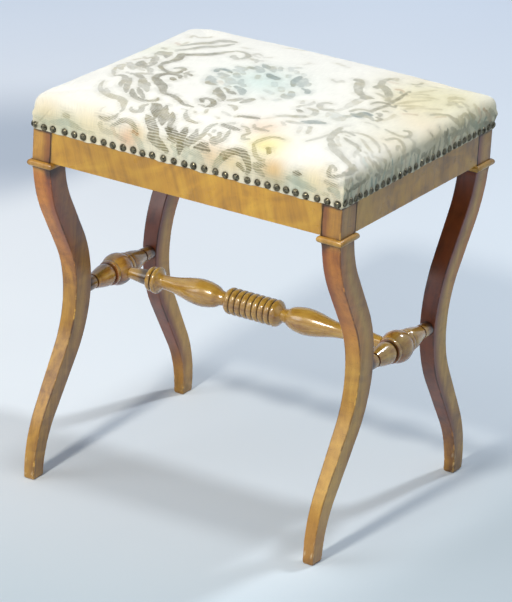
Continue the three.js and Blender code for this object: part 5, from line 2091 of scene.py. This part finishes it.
def damaskMaterial():
    material, tree, shader = newMaterial("damask")
    place = attribute(tree, "clothPlace", "Vector")
    threads = placeGroup(tree, weave, {"Place": place, "Pitch": 0.00075, "Uneven": 0.25})
    parts = addNode(tree, "SeparateXYZ", {0: place}).outputs
    ragged = noise(tree, vectorMaths(tree, "MULTIPLY", place, (0.35, 1.0, 1.0)), 700.0, 2.0, 0.6)
    ragged = maths(tree, "MULTIPLY", maths(tree, "SUBTRACT", ragged, 0.5), 2.0)
    soft = 0.8
    edges = noise(tree, place, 190.0, 3.0, 0.6)
    ragged = maths(
        tree, "ADD", ragged, maths(tree, "MULTIPLY", maths(tree, "SUBTRACT", edges, 0.5), 3.0)
    )
    plain = maths(tree, "ADD", attribute(tree, "plainStroke"), ragged)
    plain = rescale(tree, plain, soft, -soft, smooth=True)
    ribbed = maths(tree, "ADD", attribute(tree, "ribbedStroke"), ragged)
    ribbed = rescale(tree, ribbed, soft, -soft, smooth=True)
    ribTurn = maths(tree, "MULTIPLY", parts[1], 2 * math.pi * 1000 / damaskRepeat["rib"])
    ribWander = maths(tree, "MULTIPLY", noise(tree, place, 70.0, 2.0), 8.0)
    ribs = maths(tree, "SINE", maths(tree, "ADD", ribTurn, ribWander))
    ribs = rescale(tree, ribs, -0.9, 0.1, 0.52, 1.0, smooth=True)
    fineTurn = maths(tree, "ADD", parts[1], maths(tree, "MULTIPLY", parts[0], 0.22))
    fineTurn = maths(tree, "MULTIPLY", fineTurn, 2 * math.pi * 1000 / damaskRepeat["fineRib"])
    fineWander = maths(tree, "MULTIPLY", noise(tree, place, 110.0, 2.0), 7.0)
    fineRibs = maths(tree, "SINE", maths(tree, "ADD", fineTurn, fineWander))
    fineRibs = rescale(tree, fineRibs, -0.8, 0.5, 0.46, 1.0, smooth=True)
    mask = maths(
        tree, "MAXIMUM", maths(tree, "MULTIPLY", plain, fineRibs), maths(tree, "MULTIPLY", ribbed, ribs)
    )
    rubbed = rescale(tree, noise(tree, place, 90.0, 4.0, 0.65), 0.36, 0.58, 0.72, 1.0)
    mask = maths(tree, "MULTIPLY", mask, rubbed)
    # the dye has bled a little into the cloth round each stroke
    bled = maths(tree, "MINIMUM", attribute(tree, "plainStroke"), attribute(tree, "ribbedStroke"))
    bled = rescale(tree, maths(tree, "ADD", bled, ragged), 9.0, 0.0, 0.0, 0.42)
    bled = maths(tree, "MULTIPLY", bled, rescale(tree, ribs, 0.52, 1.0, 0.3, 1.0))
    bled = maths(tree, "MULTIPLY", bled, rescale(tree, noise(tree, place, 60.0, 3.0), 0.4, 0.58, 0.3, 1.0))
    mask = maths(tree, "MAXIMUM", mask, bled)
    threadShade = rescale(tree, threads["Thread Tone"], 0.3, 0.7, 0.95, 1.06)
    threadShade = maths(
        tree, "MULTIPLY", threadShade, rescale(tree, threads["Height"], 0.0, 0.9, 0.91, 1.02)
    )
    mottle = rescale(tree, noise(tree, place, 24.0, 4.0, 0.6), 0.3, 0.7, 0.96, 1.03)
    threadShade = maths(tree, "MULTIPLY", threadShade, mottle)
    golden = rescale(tree, noise(tree, place, 42.0, 3.0, 0.6), 0.46, 0.62, 0.0, 0.38)
    dyed = mixColour(tree, golden, attribute(tree, "motifTint", "Color"), linearColour(170, 154, 90))
    colour = mixColour(tree, mask, attribute(tree, "groundTint", "Color"), dyed)
    # darker round each nail head, and a painted shade along the pleat's crease
    soilAndShade = maths(tree, "MULTIPLY", attribute(tree, "hollow"), 0.55)
    colour = mixColour(tree, soilAndShade, colour, linearColour(112, 102, 74))
    colour = mixColour(
        tree,
        1.0,
        colour,
        addNode(tree, "CombineColor", {0: threadShade, 1: threadShade, 2: threadShade}).outputs[0],
        "MULTIPLY",
    )
    height = maths(
        tree, "ADD", maths(tree, "MULTIPLY", threads["Height"], 0.35), maths(tree, "MULTIPLY", mask, 0.9)
    )
    bump = addNode(tree, "Bump", {"Height": height, "Strength": 0.55, "Distance": 0.0004})
    plug(tree, shader, {"Base Color": colour, "Normal": bump.outputs[0]})
    plug(tree, shader, {"Roughness": rescale(tree, mask, 0.0, 1.0, 0.8, 0.92)})
    shader.inputs["Sheen Weight"].default_value = 0.12
    shader.inputs["Sheen Roughness"].default_value = 0.5
    return material


damask = damaskMaterial()

# nails along each side, measured along it in millimetres from its middle
nailPlaces = {
    3: [-216, -203, -190, -173, -159, -146, -131, -116, -103, -88, -73, -60, -46, -30, -15, 0, 13, 28, 44, 58, 73,
        89, 103, 117, 130, 143, 156, 170, 186, 200, 214],
    0: [-182, -169, -157, -147, -134, -121, -107, -93, -80, -66, -51, -39, -28, -13, 2, 16, 30, 43, 58, 71, 84, 96,
        108, 121, 134, 147, 159, 171, 183],
}
nailShape = {"radius": 0.00475, "height": 0.0031, "pitch": 0.0137, "above": 0.0052, "seed": 12}


def nailPositions():
    rng = np.random.default_rng(nailShape["seed"])
    places = {side: [p / 1000 for p in found] for side, found in nailPlaces.items()}
    for side, reach in ((1, halfLength), (2, halfDepth)):
        count = int(round((2 * reach - 0.009) / nailShape["pitch"])) + 1
        even = np.linspace(-reach + 0.0045, reach - 0.0045, count)
        places[side] = list(even + rng.normal(size=count) * 0.0007)
    found = []
    for side in range(4):
        for place in places[side]:
            found.append((side, place, hemHeight + nailShape["above"] + rng.normal() * 0.0005))
    return found


nailSpots = nailPositions()


def makeCover():
    c = coverShape
    edgeRows = []
    fall = hemHeight - railTop
    for k in range(1, 10):
        edgeRows.append((c["out"], fall * k / 10 , c["hemRound"], 0.0))
    # the turned-in hem and a short inner face
    edgeRows += [
        (c["out"] + 0.0001, fall + 0.0010, c["hemRound"], 0.0),
        (c["out"] - 0.0002, fall + 0.0004, c["hemRound"], 0.0),
        (c["out"] - 0.0007, fall + 0.00005, c["hemRound"] - 0.0004, 0.0),
        (c["out"] - 0.0012, fall + 0.0003, c["hemRound"] - 0.0008, 0.0),
        (gap, fall + 0.0010, 0.0012, 0.0),
        (gap, -0.0002, 0.0008, 0.0),
        (-0.010, 0.0056, 0.0008, 0.0),
    ]
    points, faces, cloth, ringStarts, count, rimSide, rimWalk = coverGrid(
        c["cellsX"], c["cellsY"], 0.0, 0.00166, edgeRows
    )
    faces.append(tuple(range(ringStarts[-1], ringStarts[-1] + count))[::-1])
    faces = [tuple(int(k) for k in face)[::-1] for face in faces]
    hemFirst = ringStarts[-7]
    top = points[:, 2]
    # the vertices that show: all but the last three rings, which lie on the inner face
    shown = np.arange(len(points)) < ringStarts[-3]
    mesh = bpy.data.meshes.new("damask_cover")
    mesh.from_pydata(points.tolist(), [], faces)
    mesh.update()
    normals = np.zeros(len(points) * 3, np.float32)
    mesh.vertices.foreach_get("normal", normals)
    normals = normals.reshape(-1, 3).astype(float)
    if normals[: (c["cellsX"] + 1) * (c["cellsY"] + 1), 2].mean() < 0:
        mesh.flip_normals()
        normals = -normals
    # the base over the hessian stays where it is
    free = smoothSteps(points[:, 2], railTop + 0.001, railTop + 0.012) * shown
    swell = np.zeros(len(points))
    tree = simulatePad()
    for k in np.nonzero(free > 0)[0]:
        start = Vector(points[k] + normals[k] * 0.02)
        hit = tree.ray_cast(start, Vector(-normals[k]), 0.045)
        swell[k] = 0.02 + c["padShrink"] - hit[3] if hit[3] is not None else 0.0
    edges = np.zeros(len(mesh.edges) * 2, int)
    mesh.edges.foreach_get("vertices", edges)
    edges = edges.reshape(-1, 2)
    degree = np.bincount(edges.ravel(), minlength=len(points))
    for _ in range(12):
        total = np.bincount(edges[:, 0], swell[edges[:, 1]], len(points))
        total += np.bincount(edges[:, 1], swell[edges[:, 0]], len(points))
        swell = 0.5 * swell + 0.5 * total / degree
    print("cover moves %.1f to %.1f mm" % (swell[free > 0.5].min() * 1000, swell[free > 0.5].max() * 1000))
    points = points + normals * (swell * free)[:, None]
    x, y, radius, rise = c["fold"]
    rise = rise * np.exp(-((points[:, 0] - x) ** 2 + (points[:, 1] - y) ** 2) / radius**2)
    rise *= smoothSteps(points[:, 2], railTop - 0.012, railTop + 0.004)
    points[:, 0] += 0.75 * rise
    points[:, 1] += 0.65 * rise
    # the nails draw the cloth in, with soft pulls above each
    pulls = np.zeros(len(points))
    hollow = np.zeros(len(points))
    low = np.nonzero(shown & (top < railTop + 0.03) & (np.arange(len(points)) >= (c["cellsX"] + 1) * (c["cellsY"] + 1)))[0]
    for side, place, height in nailSpots:
        facing = side * math.pi / 2
        alongs = -points[low, 0] * math.sin(facing) + points[low, 1] * math.cos(facing)
        awayFrom = points[low, 0] * math.cos(facing) + points[low, 1] * math.sin(facing)
        reach = halfLength if side % 2 == 0 else halfDepth
        near = awayFrom > reach - 0.012
        gapAlong = (alongs - place) / 0.0042
        up = np.clip(points[low, 2] - height, 0, None) / 0.011
        down = np.clip(height - points[low, 2], 0, None) / 0.006
        pulls[low] += near * np.exp(-(gapAlong**2)) * np.exp(-up - down)
        ring = np.hypot(alongs - place, points[low, 2] - height)
        hollow[low] += near * np.exp(-np.clip(ring - 0.0046, 0, None) / 0.0011)
    points -= normals * (np.clip(pulls, 0, 1) * c["nailDraw"])[:, None]
    # a folded pleat on the long sides of every corner
    index = np.arange(len(points))
    sideOf = np.full(len(points), -1)
    walkOf = np.zeros(len(points))
    for start in ringStarts:
        sideOf[start : start + count] = rimSide
        walkOf[start : start + count] = rimWalk
    onLong = (sideOf % 2 == 1) & shown
    fromCorner = halfLength + 0.002 - np.abs(points[:, 0])
    upHem = points[:, 2] - hemHeight
    foldLine = 0.0025 + 0.85 * np.clip(upHem, 0, 0.034)
    past = fromCorner - foldLine
    fade = 1 - smoothSteps(upHem, 0.020, 0.036)
    lap = np.where(past > 0, np.exp(-past / 0.010), 0.0) * 0.0013
    lap -= np.where(past <= 0, np.exp(past / 0.005), 0.0) * 0.0005
    lap[~onLong] = 0
    points += normals * (lap * fade)[:, None]
    # a painted shade along the pleat's crease
    crease = np.exp(-np.abs(past + 0.0006) / 0.0009) * fade * onLong
    hollow = np.clip(hollow * 0.75 + crease * 0.8, 0, 1)
    # slight pulls of an old tight cover, running in from the corners
    x, y = points[:, 0], points[:, 1]
    wrinkle = np.zeros(len(points))
    rng = np.random.default_rng(c["seed"])
    for signX, signY in corners.values():
        dx, dy = signX * 0.205 - x, signY * 0.170 - y
        distance = np.hypot(dx, dy)
        bearing = np.arctan2(dy * signY, dx * signX)
        phase = rng.random() * 6
        wrinkle += np.sin(bearing * 17 + phase + 2 * np.sin(bearing * 5)) * np.exp(-((distance - 0.035) / 0.03) ** 2)
    wrinkle += 0.35 * np.sin(x * 95 + 2.2 * np.sin(y * 31)) * np.sin(y * 83 + 1.7 * np.sin(x * 27))
    points += normals * (wrinkle * 0.00035 * free)[:, None]
    # a hand-trimmed hem
    ringPlace = np.arctan2(points[:, 1], points[:, 0])
    sway = 0.0005 * np.sin(ringPlace * 23) + 0.0004 * np.sin(ringPlace * 41 + 1) + 0.0003 * np.sin(ringPlace * 97)
    nearHem = (index >= hemFirst - count * 3) & (index < ringStarts[-2])
    points[nearHem, 2] += sway[nearHem] * smoothSteps(hemHeight + 0.006 - top[nearHem], 0.0, 0.005)
    points[:, 2] = np.where(nearHem, np.maximum(points[:, 2], hemHeight - 0.0012), points[:, 2])
    mesh.vertices.foreach_set("co", points.astype(np.float32).ravel())
    mesh.update()
    cover = bpy.data.objects.new("damask_cover", mesh)
    scene.collection.objects.link(cover)
    finishPiece(cover, damask, 75)
    plain, ribbed, ground, motif = drawDamask(cloth)
    setValues(cover, "plainStroke", plain)
    setValues(cover, "ribbedStroke", ribbed)
    setValues(cover, "hollow", hollow)
    setColours(cover, "groundTint", ground)
    setColours(cover, "motifTint", motif)
    setVectors(cover, "clothPlace", np.column_stack([cloth, np.zeros(len(cloth))]))
    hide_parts("seat_cover", "calico_undercover", "seat_padding")
    return cover


cover = makeCover()
print("cover ready")


# nails
def makeNails():
    rng = np.random.default_rng(nailShape["seed"] + 1)
    place = pointsOf(cover)
    cover.data.calc_loop_triangles()
    tree = BVHTree.FromPolygons(
        [tuple(p) for p in place], [tuple(t.vertices) for t in cover.data.loop_triangles]
    )
    radius, height = nailShape["radius"], nailShape["height"]
    dome = [(1.0, -0.15), (1.0, 0.02), (0.97, 0.14), (0.9, 0.36), (0.76, 0.62), (0.55, 0.83), (0.3, 0.96)]
    sides = 16
    names = ["right", "back", "left", "front"]
    for side in range(4):
        facing = side * math.pi / 2
        out = Vector((math.cos(facing), math.sin(facing), 0))
        along = Vector((-math.sin(facing), math.cos(facing), 0))
        points, faces, hollow = [], [], []
        for nailSide, spot, level in nailSpots:
            if nailSide != side:
                continue
            start = out * 0.3 + along * spot + Vector((0, 0, level))
            hit = tree.ray_cast(start, -out, 0.2)
            base = hit[0] if hit[0] is not None else start - out * 0.08
            tilt = rng.normal(size=2) * 0.09
            axis = (out + along * tilt[0] + Vector((0, 0, tilt[1]))).normalized()
            first = axis.cross(Vector((0, 0, 1))).normalized()
            second = axis.cross(first)
            size = radius * (1 + rng.normal() * 0.02)
            begin = len(points)
            for share, rise in dome:
                for k in range(sides):
                    turn = 2 * math.pi * k / sides
                    points.append(
                        base
                        + first * (size * share * math.cos(turn))
                        + second * (size * share * math.sin(turn))
                        + axis * (height * rise + 0.0002)
                    )
                    hollow.append(0.9 if rise < 0.1 else 0.0)
            points.append(base + axis * (height + 0.0002))
            hollow.append(0.0)
            tip = len(points) - 1
            for row in range(len(dome) - 1):
                for k in range(sides):
                    a, b = begin + row * sides + k, begin + row * sides + (k + 1) % sides
                    faces.append((a, a + sides, b + sides, b))
            lastRow = begin + (len(dome) - 1) * sides
            for k in range(sides):
                faces.append((lastRow + k, tip, lastRow + (k + 1) % sides))
            faces.append(tuple(begin + k for k in range(sides)))
        piece = makePiece("nails_" + names[side], points, faces, nailBronze, 60)
        setValues(piece, "hollow", hollow)


makeNails()
print("nails ready")

# floor, lamps and surroundings
studio = {
    "floorNear": (232, 242, 251),
    "floorLeft": (246, 248, 250),
    "floorFront": (207, 223, 233),
    "floorRight": (194, 207, 216),
    "floorShade": (168, 180, 196),
    "floorFar": (198, 209, 224),
    "worldColour": (196, 209, 226),
    "worldFill": 0.36,
    "worldSeen": 0.8,
    "farGlow": 0.42,
    # name: direction, distance, size, power, colour
    "lamps": {
        "front lamp": ((0.0, -0.743, 0.669), 3.8, 0.36, 70.5, (1.0, 0.94, 0.84)),
        "overhead lamp": ((0.0, -0.09, 0.995), 3.0, 0.4, 16.0, (1.0, 0.99, 0.97)),
        "back lamp": ((0.22, 0.48, 0.85), 3.0, 0.30, 29.0, (0.95, 0.98, 1.0)),
        "side fill": ((-0.62, -0.66, 0.42), 4.0, 2.2, 27.0, (0.98, 0.99, 1.0)),
    },
}


def makeFloor():
    half = 9.0
    mesh = bpy.data.meshes.new("studio_floor")
    steps = 12
    line = np.linspace(-half, half, steps + 1)
    points = [(x, y + 3.0, 0.0) for x in line for y in line]
    faces = []
    for a in range(steps):
        for b in range(steps):
            k = a * (steps + 1) + b
            faces.append((k, k + steps + 1, k + steps + 2, k + 1))
    mesh.from_pydata(points, [], faces)
    material, tree, shader = newMaterial("floor paper")
    place = addNode(tree, "TexCoord").outputs["Object"]
    parts = addNode(tree, "SeparateXYZ", {0: place}).outputs
    away = addNode(tree, "VectorMath", {0: place}, operation="LENGTH").outputs["Value"]
    far = rescale(tree, away, 0.5, 2.4, smooth=True)
    # painted light falloff: the floor colour is brighter to the left and darker to the front and the right
    left = rescale(tree, parts[0], 0.1, -1.1, smooth=True)
    colour = mixColour(
        tree, left, linearColour(*studio["floorNear"]), linearColour(*studio["floorLeft"])
    )
    front = maths(tree, "SUBTRACT", maths(tree, "MULTIPLY", parts[0], 0.5), parts[1])
    front = rescale(tree, front, 0.05, 0.7, smooth=True)
    colour = mixColour(tree, front, colour, linearColour(*studio["floorFront"]))
    right = rescale(tree, parts[0], 0.16, 0.36, smooth=True)
    colour = mixColour(tree, right, colour, linearColour(*studio["floorRight"]))
    colour = mixColour(tree, far, colour, linearColour(*studio["floorFar"]))
    # a soft shade that falls across the floor on the far left
    across = maths(tree, "ADD", maths(tree, "MULTIPLY", parts[0], -0.7), maths(tree, "MULTIPLY", parts[1], 0.7))
    shade = rescale(tree, maths(tree, "ABSOLUTE", maths(tree, "SUBTRACT", across, 1.22)), 0.34, 0.05, 0.0, 0.8, smooth=True)
    shade = maths(tree, "MULTIPLY", shade, rescale(tree, parts[0], -0.72, -0.84, smooth=True))
    colour = mixColour(tree, shade, colour, linearColour(*studio["floorShade"]))
    cloud = rescale(tree, noise(tree, place, 1.3, 2.0), 0.3, 0.7, 0.97, 1.03)
    colour = mixColour(
        tree,
        1.0,
        colour,
        addNode(tree, "CombineColor", {0: cloud, 1: cloud, 2: cloud}).outputs[0],
        "MULTIPLY",
    )
    rays = addNode(tree, "LightPath").outputs
    seen = maths(tree, "MAXIMUM", rays["Is Camera Ray"], rays["Is Glossy Ray"])
    glow = maths(tree, "MULTIPLY", maths(tree, "MULTIPLY", far, seen), studio["farGlow"])
    plug(
        tree,
        shader,
        {"Base Color": colour, "Roughness": 0.9, "Emission Color": colour, "Emission Strength": glow},
    )
    shader.inputs["Specular IOR Level"].default_value = 0.1
    mesh.materials.append(material)
    floor = bpy.data.objects.new("studio_floor", mesh)
    scene.collection.objects.link(floor)


def makeLamps():
    for name, (direction, distance, size, power, colour) in studio["lamps"].items():
        data = bpy.data.lights.new(name, "AREA")
        data.shape = "DISK"
        data.size = size
        data.energy = power
        data.color = colour
        lamp = bpy.data.objects.new(name, data)
        direction = Vector(direction).normalized()
        lamp.location = Vector((0, 0, 0.25)) + direction * distance
        lamp.rotation_euler = direction.to_track_quat("Z", "Y").to_euler()
        scene.collection.objects.link(lamp)


def makeWorld():
    world = bpy.data.worlds.new("surroundings")
    scene.world = world
    world.use_nodes = True
    tree = world.node_tree
    fill = tree.nodes["Background"]
    plug(tree, fill, {"Color": linearColour(*studio["worldColour"]), "Strength": studio["worldFill"]})
    shown = addNode(
        tree, "Background", {"Color": linearColour(*studio["worldColour"]), "Strength": studio["worldSeen"]}
    )
    rays = addNode(tree, "LightPath").outputs
    seen = maths(tree, "MAXIMUM", rays["Is Camera Ray"], rays["Is Glossy Ray"])
    seen = maths(tree, "MAXIMUM", seen, rays["Is Transmission Ray"])
    mix = addNode(tree, "MixShader", {0: seen, 1: fill.outputs[0], 2: shown.outputs[0]})
    tree.links.new(mix.outputs[0], tree.nodes["World Output"].inputs[0])


makeFloor()
makeWorld()
makeLamps()
print("stage ready")

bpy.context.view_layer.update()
